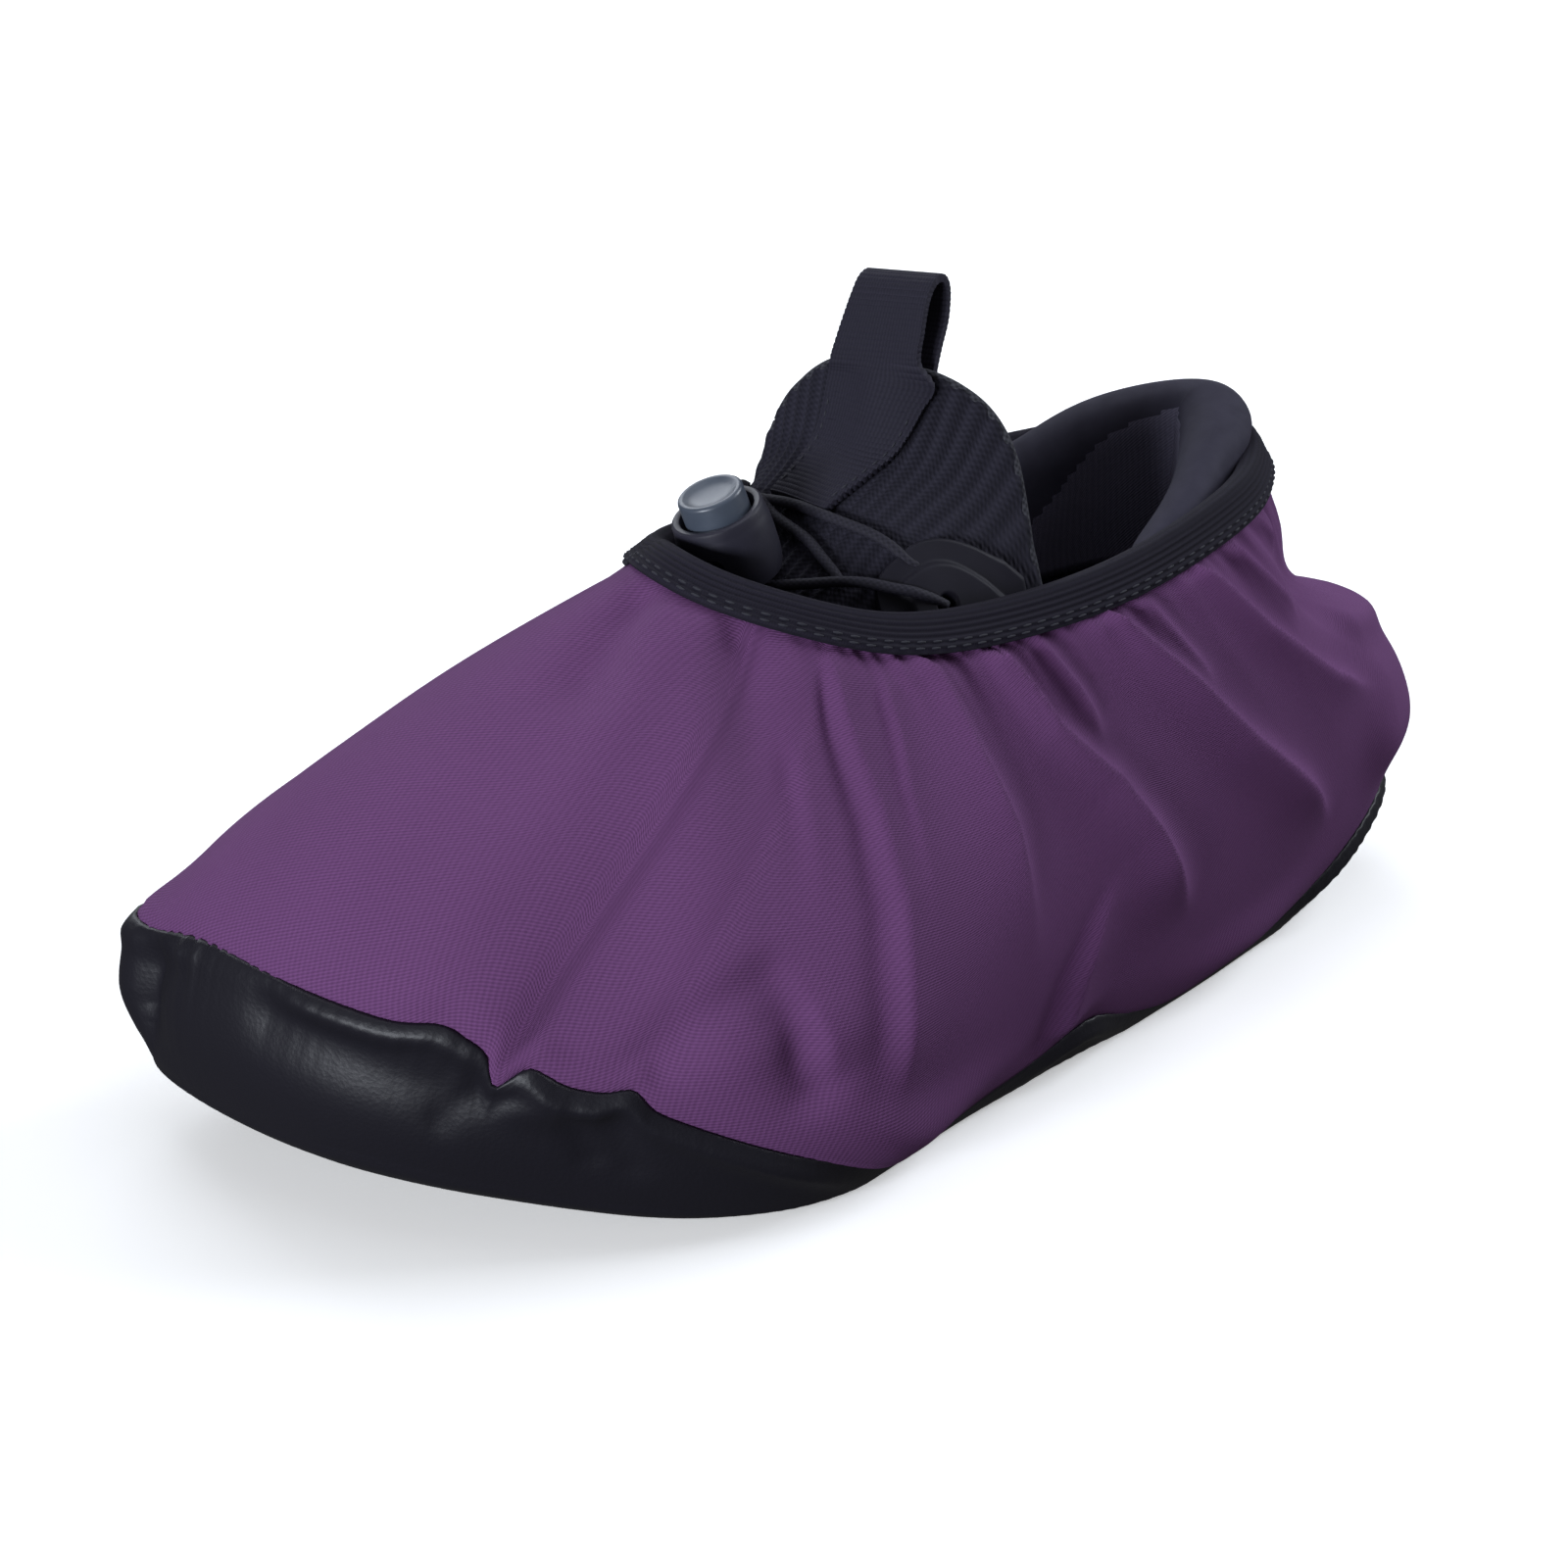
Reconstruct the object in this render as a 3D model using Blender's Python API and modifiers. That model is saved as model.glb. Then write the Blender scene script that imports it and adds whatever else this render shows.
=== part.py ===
"""Slip-on cover for a left bowling shoe, with its tongue, padded heel collar, pull loop and drawcord.

The toe points along -Y, the heel along +Y, the wearer's left side along +X, and the sole stands on Z = 0.
The cover is a closed form read in two directions: a row number around the foot, from the toe tip along
the outer side to the heel and back along the inner side, and a share of the way from sole edge to collar.
"""

import math
from collections import namedtuple

import bmesh
import bpy
import numpy as np
from mathutils import Matrix, Vector

MM = 0.001

# Driving sizes
LENGTH = 273 * MM
BALL_WIDTH = 122 * MM
INSTEP_HEIGHT = 104 * MM
GAP = 0.3 * MM
MIDLINE = -1.5 * MM

# One row for each place around the foot. Along is a share of the length from the toe, across a share of
# half the ball width, lift the height of the sole edge in mm, seam the share of the side that the sole
# cup covers, and rise a share of the instep height.
Row = namedtuple("Row", "name sole_along sole_across sole_lift seam collar_along collar_across collar_rise")
LAST = (
    Row("toe_tip", 0.016, -0.28, 14.0, 0.26, 0.335, -0.09, 1.005),
    Row("toe_corner_out", 0.050, 0.20, 12.5, 0.255, 0.342, 0.15, 0.985),
    Row("toe_side_out", 0.140, 0.58, 6.5, 0.215, 0.380, 0.36, 0.95),
    Row("ball_out", 0.275, 0.88, 2.0, 0.10, 0.443, 0.49, 0.905),
    Row("waist_out", 0.425, 0.78, 2.0, 0.04, 0.535, 0.55, 0.885),
    Row("arch_out", 0.610, 0.68, 2.0, 0.06, 0.637, 0.56, 0.89),
    Row("heel_side_out", 0.775, 0.56, 2.0, 0.07, 0.744, 0.48, 0.905),
    Row("heel_corner_out", 0.900, 0.39, 3.0, 0.14, 0.833, 0.29, 0.90),
    Row("heel_back", 0.962, 0.01, 3.0, 0.18, 0.890, -0.06, 0.905),
    Row("heel_corner_in", 0.905, -0.47, 3.0, 0.14, 0.838, -0.43, 0.90),
    Row("heel_side_in", 0.775, -0.65, 2.0, 0.07, 0.744, -0.61, 0.895),
    Row("arch_in", 0.610, -0.65, 2.0, 0.06, 0.637, -0.67, 0.89),
    Row("waist_in", 0.425, -0.72, 2.0, 0.05, 0.535, -0.65, 0.885),
    Row("ball_in", 0.270, -0.83, 2.0, 0.11, 0.443, -0.60, 0.905),
    Row("toe_side_in", 0.138, -0.865, 6.5, 0.20, 0.375, -0.455, 0.93),
    Row("toe_corner_in", 0.028, -0.84, 13.5, 0.27, 0.352, -0.285, 0.965),
)
ROWS = len(LAST)
HEEL_ROW = ROWS / 2

# How the side leaves the sole edge, and how it arrives at the collar
SIDE_OUT, SIDE_OUT_TOE = 23 * MM, -4 * MM
SIDE_RISE, SIDE_RISE_TOE, SIDE_RISE_PEAK = 36 * MM, 8 * MM, 4 * MM
BROW_OUT, BROW_OUT_TOE = 14 * MM, 32 * MM
BROW_DROP, BROW_DROP_PEAK = 30 * MM, 9 * MM
PEAK_POWER = 30

# Main folds of the upper, each along a line on the form. Height is out of the form, negative for a trough.
Fold = namedtuple("Fold", "name row share to_row to_share half_width height")
FOLDS = (
    Fold("toe_trough", 1.50, 0.28, 1.42, 0.62, 10, -2.5),
    Fold("ball_ridge", 2.30, 0.88, 3.30, 0.26, 9, 2.5),
    Fold("ball_trough", 2.68, 0.88, 3.66, 0.32, 9, -2.5),
    Fold("waist_ridge", 3.06, 0.88, 4.14, 0.34, 9, 3.0),
    Fold("side_ridge", 3.80, 0.86, 5.10, 0.30, 9, 3.0),
    Fold("arch_crease", 4.54, 0.42, 4.50, 0.14, 8, -2.5),
    Fold("heel_trough", 4.70, 0.88, 5.40, 0.50, 9, -2.0),
    Fold("heel_ridge", 5.10, 0.86, 5.86, 0.40, 9, 2.5),
    Fold("ankle_hollow", 7.10, 0.77, 8.90, 0.77, 12, -8.0),
    Fold("heel_pouch", 7.10, 0.46, 8.90, 0.46, 13, 4.0),
)
ROW_PITCH = 38 * MM
SIDE_PITCH = 110 * MM
FOLD_FADE = 0.06

# Meshing
AROUND = 92
STEP = ROWS / AROUND
SIDE_STEPS = 10
CUP_STEPS = 3

# Sole cup
CUP_WALL = 1.7 * MM
EDGE_ROUND = 5 * MM
SPRING_START = 0.22
SPRING_RISE = 12.5 * MM
ARCH_RISE = 2 * MM
ARCH_FROM, ARCH_TO = 0.40, 0.68

# Upper and its binding
UPPER_WALL = 1.5 * MM
BAND_WALL = 1.2 * MM
BAND_OUTSIDE = 6 * MM
BAND_INSIDE = 6 * MM
BAND_DEPTH = UPPER_WALL + GAP + BAND_WALL

# Tongue: one row for each section behind its front edge. Half width is in mm from its middle.
Section = namedtuple("Section", "along crown half_width sweep")
TONGUE = (
    Section(0.291, 0.827, 21.0, 0.0),
    Section(0.354, 0.832, 20.0, 0.0),
    Section(0.401, 0.880, 23.5, 0.0),
    Section(0.438, 0.945, 27.5, 1.5),
    Section(0.467, 1.014, 29.5, 4.0),
    Section(0.493, 1.062, 30.5, 7.0),
    Section(0.511, 1.115, 31.0, 11.0),
    Section(0.524, 1.216, 31.5, 17.0),
)
TONGUE_MID = MIDLINE - 3.25 * MM
TONGUE_WALL = 2.5 * MM
TONGUE_EDGE = 0.81
TONGUE_EDGE_DROP = 6 * MM
TONGUE_POWER = 3.6
TONGUE_SHOULDER = 0.75
INNER_SWING = -0.25
TONGUE_ACROSS = 24
TONGUE_FRONT_ROWS = 0.7
TONGUE_FRONT_SHARE = 0.80

# Pull loop: the path of its free end, from the tongue's top edge, as steps back and up in mm
Bend = namedtuple("Bend", "back up")
LOOP = (
    Bend(-0.4, 4.0),
    Bend(0.8, 10.0),
    Bend(2.4, 15.0),
    Bend(5.0, 18.0),
    Bend(8.2, 18.2),
    Bend(10.4, 15.5),
    Bend(10.4, 10.0),
    Bend(8.2, 5.0),
    Bend(5.2, 1.8),
)
LOOP_WIDTH = 19 * MM
LOOP_WALL = 1.4 * MM
LOOP_MID = MIDLINE - 3.75 * MM
LOOP_TURN = math.radians(18)
LOOP_ROLL = math.radians(6)
LOOP_SKEW = 3 * MM
LOOP_COLUMNS = 5
STRIP_FROM, STRIP_TO = 4.0, 6.95
STRIP_STEPS = 10

# Heel collar
COLLAR_PAD = 7 * MM
COLLAR_FOOT = 3 * MM
COLLAR_DEPTH = 24 * MM
COLLAR_RISE = 10 * MM
COLLAR_HALF_RISE = 1.7
COLLAR_REACH = 2.6
COLLAR_STEPS = 28

# Cord lock, standing on the tongue
LOCK_BASE = Vector((-5.25, -25.7, 96.4)) * MM
LOCK_AXIS = Vector((-0.11, -0.31, 0.94)).normalized()
LOCK_RADIUS, LOCK_RIM_RADIUS = 10 * MM, 9 * MM
LOCK_HEIGHT = 14.4 * MM
LOCK_BORE_RADIUS = 7.2 * MM
LOCK_FLOOR = 2 * MM
LOCK_HOLE_RADIUS = 2.1 * MM
LOCK_HOLE_HEIGHT = 5 * MM
LOCK_HOLE_TURN = math.radians(-40)
BUTTON_RADIUS = 6.9 * MM
BUTTON_FOOT = 6.5 * MM
BUTTON_TOP = 18.4 * MM
BUTTON_DISH = 0.8 * MM
BUTTON_EDGE = 0.6 * MM
TURN_STEPS = 28

# Lace tabs on the tongue's sides: their upper edge by tongue section, as a share of the half width
Brow = namedtuple("Brow", "section share")
TAB_EDGE = (
    Brow(3.30, 0.87), Brow(3.45, 0.71), Brow(4.00, 0.685), Brow(4.65, 0.69), Brow(5.40, 0.79),
    Brow(6.10, 0.88), Brow(6.30, 0.93),
)
TAB_LOW = 0.985
TAB_WALL = 1.8 * MM
TAB_STEPS = 12
TAB_COLUMNS = 6
BOSS_FROM, BOSS_TO = 4.2, 5.6
BOSS_MARGIN = 0.10
BOSS_RISE = 1.2 * MM

# Drawcord runs: tongue section, share of its half width, and lift of the cord's middle off it in mm
CORD_RADIUS = 1.5 * MM
Stop = namedtuple("Stop", "section share lift")
CROSS_RUN = (
    Stop(4.00, -0.64, 2.2), Stop(3.85, -0.44, 2.4), Stop(3.72, -0.20, 2.4), Stop(3.75, 0.10, 2.4),
    Stop(3.85, 0.44, 2.4), Stop(4.00, 0.64, 2.2),
)
FRONT_RUN = (Stop(3.33, 0.02, 2.2), Stop(3.23, 0.28, 2.2), Stop(3.08, 0.48, 2.2))
SIDE_RUN = (
    Stop(2.60, 0.42, 3.4), Stop(2.90, 0.57, 3.6), Stop(3.30, 0.70, 4.2), Stop(3.70, 0.79, 4.2),
    Stop(4.05, 0.85, 4.2),
)
CORD_STEPS = 3

# Colours and roughness of the finishes
Finish = namedtuple("Finish", "colour roughness")
FINISHES = {
    "leather_black": Finish((0.020, 0.018, 0.030, 1), 0.45),
    "knit_purple": Finish((0.110, 0.048, 0.128, 1), 0.85),
    "elastic_black": Finish((0.012, 0.011, 0.020, 1), 0.80),
    "knit_black": Finish((0.016, 0.015, 0.026, 1), 0.90),
    "webbing_black": Finish((0.022, 0.021, 0.036, 1), 0.80),
    "padding_black": Finish((0.026, 0.025, 0.040, 1), 0.75),
    "rubber_black": Finish((0.015, 0.014, 0.025, 1), 0.50),
    "cord_black": Finish((0.018, 0.017, 0.028, 1), 0.80),
    "plastic_black": Finish((0.014, 0.014, 0.024, 1), 0.40),
    "plastic_grey": Finish((0.195, 0.230, 0.305, 1), 0.40),
}

UP = np.array((0.0, 0.0, 1.0))


def column(name):
    """One column of the table of rows."""
    return np.array([getattr(row, name) for row in LAST])


def around(values, place):
    """A closed smooth curve through one value for each row, read at row numbers."""
    count = len(values)
    left = np.zeros((count, count))
    right = np.zeros((count, count))
    for i in range(count):
        left[i, i] = 4
        left[i, i - 1] = 1
        left[i, (i + 1) % count] = 1
        right[i, i - 1] = -3
        right[i, (i + 1) % count] = 3
    slopes = np.linalg.solve(left, right @ values)
    before = np.floor(place).astype(int)
    t = place - before
    i = before % count
    j = (i + 1) % count
    held = (1 + 2 * t) * (1 - t) ** 2 * values[i] + t * t * (3 - 2 * t) * values[j]
    return held + t * (1 - t) ** 2 * slopes[i] + t * t * (t - 1) * slopes[j]


def sole_edge(place):
    """The sole's edge as points."""
    x = MIDLINE + around(column("sole_across"), place) * BALL_WIDTH / 2
    y = (around(column("sole_along"), place) - 0.5) * LENGTH
    return np.stack((x, y, around(column("sole_lift"), place) * MM), -1)


def collar_edge(place):
    """The collar's edge as points."""
    x = MIDLINE + around(column("collar_across"), place) * BALL_WIDTH / 2
    y = (around(column("collar_along"), place) - 0.5) * LENGTH
    return np.stack((x, y, around(column("collar_rise"), place) * INSTEP_HEIGHT), -1)


def seam(place):
    """The share of the side where the sole cup ends and the upper starts."""
    return around(column("seam"), place)


def unit(vectors):
    return vectors / np.linalg.norm(vectors, axis=-1, keepdims=True)


def outward(edge, place):
    """Level directions out of a closed edge."""
    along = edge(place + STEP / 2) - edge(place - STEP / 2)
    return unit(np.stack((along[..., 1], -along[..., 0], 0 * along[..., 2]), -1))


def form(place, share):
    """The smooth form at row numbers and shares of the side."""
    place, share = np.broadcast_arrays(np.asarray(place, float), np.asarray(share, float))
    toe = ((1 + np.cos(place * 2 * math.pi / ROWS)) / 2)[..., None]
    low = sole_edge(place)
    top = collar_edge(place)
    side = low + outward(sole_edge, place) * (SIDE_OUT + SIDE_OUT_TOE * toe ** 0.35)
    side = side + UP * (SIDE_RISE + SIDE_RISE_TOE * toe + SIDE_RISE_PEAK * toe ** PEAK_POWER)
    brow = top + outward(collar_edge, place) * (BROW_OUT + BROW_OUT_TOE * toe ** 3)
    brow = brow - UP * (BROW_DROP - BROW_DROP_PEAK * toe ** PEAK_POWER)
    t = share[..., None]
    return (1 - t) ** 3 * low + 3 * (1 - t) ** 2 * t * side + 3 * (1 - t) * t * t * brow + t ** 3 * top


def form_normal(place, share):
    """Outward normals of the smooth form."""
    place, share = np.broadcast_arrays(np.asarray(place, float), np.asarray(share, float))
    reach = 0.01
    turn = form(place + STEP / 2, share) - form(place - STEP / 2, share)
    climb = form(place, share + reach) - form(place, share - reach)
    return unit(np.cross(turn, climb))


def smooth_step(t):
    t = np.clip(t, 0, 1)
    return t * t * (3 - 2 * t)


def fold_height(place, share):
    """How far the folds stand out of the form, fading at the seam and under the binding."""
    total = np.zeros(np.broadcast(place, share).shape)
    for fold in FOLDS:
        start = np.array((fold.row * ROW_PITCH, fold.share * SIDE_PITCH))
        run = np.array((fold.to_row * ROW_PITCH, fold.to_share * SIDE_PITCH)) - start
        turn = np.mod(place, ROWS) * ROW_PITCH - start[0]
        climb = share * SIDE_PITCH - start[1]
        t = np.clip((turn * run[0] + climb * run[1]) / (run @ run), 0, 1)
        off = np.hypot(turn - t * run[0], climb - t * run[1])
        total = total + fold.height * MM * np.exp(-(off / (fold.half_width * MM)) ** 2)
    hold = smooth_step((share - seam(place)) / FOLD_FADE) * smooth_step((band_start(place) - share) / FOLD_FADE)
    return total * hold


def folded(place, share):
    """The form with its folds."""
    return form(place, share) + form_normal(place, share) * fold_height(place, share)[..., None]


def band_start(place):
    """The share of the side where the binding's outer leg ends."""
    return 1 - BAND_OUTSIDE / edge_speed(place)


def edge_speed(place):
    """Length of side for a whole share, at the collar."""
    reach = 0.01
    return np.linalg.norm(form(place, 1.0) - form(place, 1 - reach), axis=-1) / reach


def floor_height(along):
    """Underside of the sole: level under ball and heel, sprung at the toe, raised at the arch."""
    spring = np.clip((SPRING_START - along) / SPRING_START, 0, 1) ** 2 * SPRING_RISE
    middle = np.clip((along - ARCH_FROM) / (ARCH_TO - ARCH_FROM), 0, 1)
    return spring + ARCH_RISE * np.sin(middle * math.pi) ** 2


def ring(bm, points):
    return [bm.verts.new(point) for point in points]


def skin(bm, first, second, closed=True):
    """Faces between two rows of vertices."""
    for i in range(len(first) if closed else len(first) - 1):
        j = (i + 1) % len(first)
        bm.faces.new((first[i], first[j], second[j], second[i]))


def piece(name, bm, finish):
    """A named part from a bmesh, with its own material."""
    bmesh.ops.recalc_face_normals(bm, faces=bm.faces)
    mesh = bpy.data.meshes.new(name)
    bm.to_mesh(mesh)
    bm.free()
    return place_object(name, mesh, finish)


def place_object(name, data, finish):
    obj = bpy.data.objects.new(name, data)
    bpy.data.collections["parts"].objects.link(obj)
    data.materials.append(bpy.data.materials[finish])
    return obj


def make_finishes():
    for name, finish in FINISHES.items():
        material = bpy.data.materials.new(name)
        material.use_nodes = True
        shader = material.node_tree.nodes["Principled BSDF"]
        shader.inputs["Base Color"].default_value = finish.colour
        shader.inputs["Roughness"].default_value = finish.roughness
        material.diffuse_color = finish.colour


def thicken(obj, wall, offset=-1.0):
    solid = obj.modifiers.new("wall", "SOLIDIFY")
    solid.thickness = wall
    solid.offset = offset
    solid.use_even_offset = True


def places():
    """The row numbers of the mesh around the foot."""
    return np.arange(AROUND) * STEP


def make_outsole():
    """Sole cup: floor panel, rounded edge, and sides up to the seam."""
    place = places()
    bm = bmesh.new()
    edge = sole_edge(place)
    inset = edge - outward(sole_edge, place) * EDGE_ROUND
    inset[:, 2] = floor_height(inset[:, 1] / LENGTH + 0.5)
    floor = ring(bm, inset)
    last = floor
    for step in range(CUP_STEPS + 1):
        level = ring(bm, form(place, seam(place) * step / CUP_STEPS))
        skin(bm, last, level)
        last = level
    half = AROUND // 2
    bm.faces.new((floor[1], floor[0], floor[-1]))
    for i in range(1, half - 1):
        bm.faces.new((floor[i + 1], floor[i], floor[-i], floor[-i - 1]))
    bm.faces.new((floor[half], floor[half - 1], floor[half + 1]))
    thicken(piece("outsole", bm, "leather_black"), CUP_WALL)


def make_upper():
    """Knit upper: one shell from the seam to the collar."""
    place = places()
    start = seam(place) + 3 * GAP / SIDE_PITCH
    stop = band_start(place)
    shares = [start + (stop - start) * step / SIDE_STEPS for step in range(SIDE_STEPS + 1)]
    shares += [(stop + 1) / 2, np.ones(AROUND)]
    bm = bmesh.new()
    last = ring(bm, folded(place, shares[0]))
    for share in shares[1:]:
        level = ring(bm, folded(place, share))
        skin(bm, last, level)
        last = level
    thicken(piece("upper", bm, "knit_purple"), UPPER_WALL)


def make_binding():
    """Elastic binding folded over the collar edge, with an outer and an inner leg."""
    place = places()
    low = band_start(place)
    mid = (low + 1) / 2
    inner = 1 - BAND_INSIDE / edge_speed(place)
    top = np.ones(AROUND)
    near, far = GAP, GAP + BAND_WALL
    deep, deepest = -(UPPER_WALL + GAP), -(UPPER_WALL + GAP + BAND_WALL)
    lip = (form(place, 1.0) - form(place, 0.98)) / (0.02 * edge_speed(place))[:, None]
    corners = (
        (low, near, 0), (low, far, 0), (mid, far, 0), (top, far, near), (top, near, far), (top, deep, far),
        (top, deepest, near), (inner, deepest, 0), (inner, deep, 0), (top, deep, near), (top, near, near),
        (mid, near, 0),
    )
    bm = bmesh.new()
    loops = []
    for share, out, over in corners:
        loops.append(ring(bm, form(place, share) + form_normal(place, share) * out + lip * over))
    for first, second in zip(loops, loops[1:] + loops[:1]):
        skin(bm, first, second)
    piece("collar_binding", bm, "elastic_black")


def tongue_value(name, section):
    return np.interp(section, range(len(TONGUE)), [getattr(row, name) for row in TONGUE])


def tongue(section, share):
    """The tongue's outer face at a section number and a share of its half width."""
    along = tongue_value("along", section)
    crown = tongue_value("crown", section) * INSTEP_HEIGHT
    edge = np.minimum(TONGUE_EDGE * INSTEP_HEIGHT, crown - TONGUE_EDGE_DROP)
    side = np.abs(share)
    x = TONGUE_MID + share * tongue_value("half_width", section) * MM
    swing = smooth_step(side / TONGUE_SHOULDER) * np.where(share > 0, 1, INNER_SWING)
    y = (along - 0.5) * LENGTH + tongue_value("sweep", section) * MM * swing
    z = edge + (crown - edge) * (1 - side ** TONGUE_POWER)
    return np.stack(np.broadcast_arrays(x, y, z), -1)


def tongue_normal(section, share):
    reach = 0.02
    run = tongue(section + reach, share) - tongue(section - reach, share)
    turn = tongue(section, share + reach) - tongue(section, share - reach)
    return unit(np.cross(turn, run))


def make_tongue():
    """Ribbed tongue: a vault whose front edge lies under the vamp."""
    share = np.linspace(-1, 1, TONGUE_ACROSS + 1)
    front = share * TONGUE_FRONT_ROWS
    under = form(front, TONGUE_FRONT_SHARE)
    under = under - form_normal(front, TONGUE_FRONT_SHARE) * (UPPER_WALL + 2 * GAP)
    bm = bmesh.new()
    last = ring(bm, under)
    for section in range(len(TONGUE)):
        level = ring(bm, tongue(float(section), share))
        skin(bm, last, level, closed=False)
        last = level
    obj = piece("tongue", bm, "knit_black")
    thicken(obj, TONGUE_WALL)


def make_pull_loop():
    """Webbing strip laid up the tongue, ending in a standing loop that is turned with the tongue's top."""
    across = np.linspace(-LOOP_WIDTH / 2, LOOP_WIDTH / 2, LOOP_COLUMNS)
    wide = np.array((math.cos(LOOP_TURN), math.sin(LOOP_TURN), math.sin(LOOP_ROLL)))
    back = np.array((-math.sin(LOOP_TURN), math.cos(LOOP_TURN), 0))
    lift = 2 * GAP + LOOP_WALL / 2
    bm = bmesh.new()
    rows = []
    for section in np.linspace(STRIP_FROM, STRIP_TO, STRIP_STEPS):
        left = (STRIP_TO - section) / (STRIP_TO - STRIP_FROM)
        share = (LOOP_MID - LOOP_SKEW * left - TONGUE_MID + across) / (tongue_value("half_width", section) * MM)
        rows.append(ring(bm, tongue(section, share) + tongue_normal(section, share) * lift))
    middle = (LOOP_MID - TONGUE_MID) / (TONGUE[-1].half_width * MM)
    top = tongue(len(TONGUE) - 1.0, middle)
    for bend in LOOP:
        centre = top + back * bend.back * MM + UP * bend.up * MM
        rows.append(ring(bm, centre + across[:, None] * wide))
    for first, second in zip(rows, rows[1:]):
        skin(bm, first, second, closed=False)
    thicken(piece("pull_loop", bm, "webbing_black"), LOOP_WALL, offset=0.0)


def make_heel_collar():
    """Padded collar inside the back of the opening, with a rolled top."""
    place = HEEL_ROW + np.linspace(-COLLAR_REACH, COLLAR_REACH, COLLAR_STEPS + 1)
    edge = collar_edge(place)
    out = outward(collar_edge, place)
    face = edge - out * (BAND_DEPTH + 3 * GAP)
    rise = COLLAR_RISE * np.cos((place - HEEL_ROW) / COLLAR_HALF_RISE * math.pi / 2)
    pad = COLLAR_PAD
    outline = (
        (0, -COLLAR_DEPTH, 0), (0, -pad * 0.4, 1), (pad * 0.15, -pad * 0.1, 1), (pad * 0.5, 0, 1),
        (pad * 0.85, -pad * 0.1, 1), (pad, -pad * 0.4, 1), (pad * 0.85, -pad * 1.6, 1), (COLLAR_FOOT, -COLLAR_DEPTH, 0),
    )
    bm = bmesh.new()
    loops = []
    for inwards, up, raised in outline:
        loops.append(ring(bm, face - out * inwards + UP * (up + rise * raised)[:, None]))
    for first, second in zip(loops, loops[1:] + loops[:1]):
        skin(bm, first, second, closed=False)
    bm.faces.new([loop[0] for loop in loops])
    bm.faces.new([loop[-1] for loop in loops])
    piece("heel_collar", bm, "padding_black")


def make_tab(name, side):
    """Moulded lace tab: a plate on the tongue's side with a raised boss that takes the cord."""
    sections = np.linspace(TAB_EDGE[0].section, TAB_EDGE[-1].section, TAB_STEPS + 1)
    brows = np.interp(sections, [b.section for b in TAB_EDGE], [b.share for b in TAB_EDGE])
    bm = bmesh.new()
    inner, outer = [], []
    for section, brow in zip(sections, brows):
        share = np.linspace(brow, TAB_LOW, TAB_COLUMNS)
        on_boss = (BOSS_FROM < section < BOSS_TO) & (share > brow + BOSS_MARGIN)
        point = tongue(section, side * share)
        out = tongue_normal(section, side * share)
        inner.append(ring(bm, point + out * GAP))
        outer.append(ring(bm, point + out * (GAP + TAB_WALL + BOSS_RISE * on_boss)[:, None]))
    for grid in (inner, outer):
        for first, second in zip(grid, grid[1:]):
            skin(bm, first, second, closed=False)
    rim_in = border(inner)
    rim_out = border(outer)
    skin(bm, rim_in, rim_out)
    piece(name, bm, "rubber_black")


def border(grid):
    """The vertices around a grid, in order."""
    right = [row[-1] for row in grid[1:-1]]
    left = [row[0] for row in grid[1:-1]]
    return grid[0] + right + grid[-1][::-1] + left[::-1]


def turned(name, outline, finish):
    """A piece turned about the lock's axis from its outline of radius and height."""
    bm = bmesh.new()
    points = [bm.verts.new((radius, 0, height)) for radius, height in outline]
    for first, second in zip(points, points[1:]):
        bm.edges.new((first, second))
    mesh = bpy.data.meshes.new(name)
    bm.to_mesh(mesh)
    bm.free()
    obj = place_object(name, mesh, finish)
    obj.matrix_world = lock_frame()
    screw = obj.modifiers.new("turn", "SCREW")
    screw.steps = TURN_STEPS
    screw.render_steps = TURN_STEPS
    screw.use_merge_vertices = True
    screw.merge_threshold = 0.00001
    screw.use_normal_calculate = True
    return obj


def lock_frame():
    return Matrix.Translation(LOCK_BASE) @ LOCK_AXIS.to_track_quat("Z", "Y").to_matrix().to_4x4()


def make_lock():
    """Toggle body with a cord hole, and its press button."""
    body = turned("cord_lock_body", (
        (0, 0), (LOCK_RADIUS - 1 * MM, 0), (LOCK_RADIUS, 1 * MM), (LOCK_RIM_RADIUS, LOCK_HEIGHT - 0.6 * MM),
        (LOCK_RIM_RADIUS - 0.6 * MM, LOCK_HEIGHT), (LOCK_BORE_RADIUS, LOCK_HEIGHT), (LOCK_BORE_RADIUS, LOCK_FLOOR),
        (0, LOCK_FLOOR),
    ), "plastic_black")
    turned("cord_lock_button", (
        (0, BUTTON_FOOT), (BUTTON_RADIUS, BUTTON_FOOT), (BUTTON_RADIUS, BUTTON_TOP - BUTTON_EDGE),
        (BUTTON_RADIUS - BUTTON_EDGE, BUTTON_TOP), (BUTTON_RADIUS * 0.75, BUTTON_TOP),
        (BUTTON_RADIUS * 0.6, BUTTON_TOP - BUTTON_DISH / 2), (0, BUTTON_TOP - BUTTON_DISH),
    ), "plastic_grey")
    bpy.ops.mesh.primitive_cylinder_add(vertices=24, radius=LOCK_HOLE_RADIUS, depth=3 * LOCK_RADIUS)
    hole = bpy.context.object
    hole.name = "cord_hole"
    turn = Matrix.Rotation(LOCK_HOLE_TURN, 4, "Z") @ Matrix.Rotation(math.pi / 2, 4, "Y")
    hole.matrix_world = lock_frame() @ Matrix.Translation((0, 0, LOCK_HOLE_HEIGHT)) @ turn
    hole.hide_render = True
    hole.display_type = "WIRE"
    for owner in list(hole.users_collection):
        owner.objects.unlink(hole)
    bpy.data.collections["cutters"].objects.link(hole)
    cut = body.modifiers.new("cord_hole", "BOOLEAN")
    cut.object = hole
    cut.operation = "DIFFERENCE"
    cut.solver = "EXACT"


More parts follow.
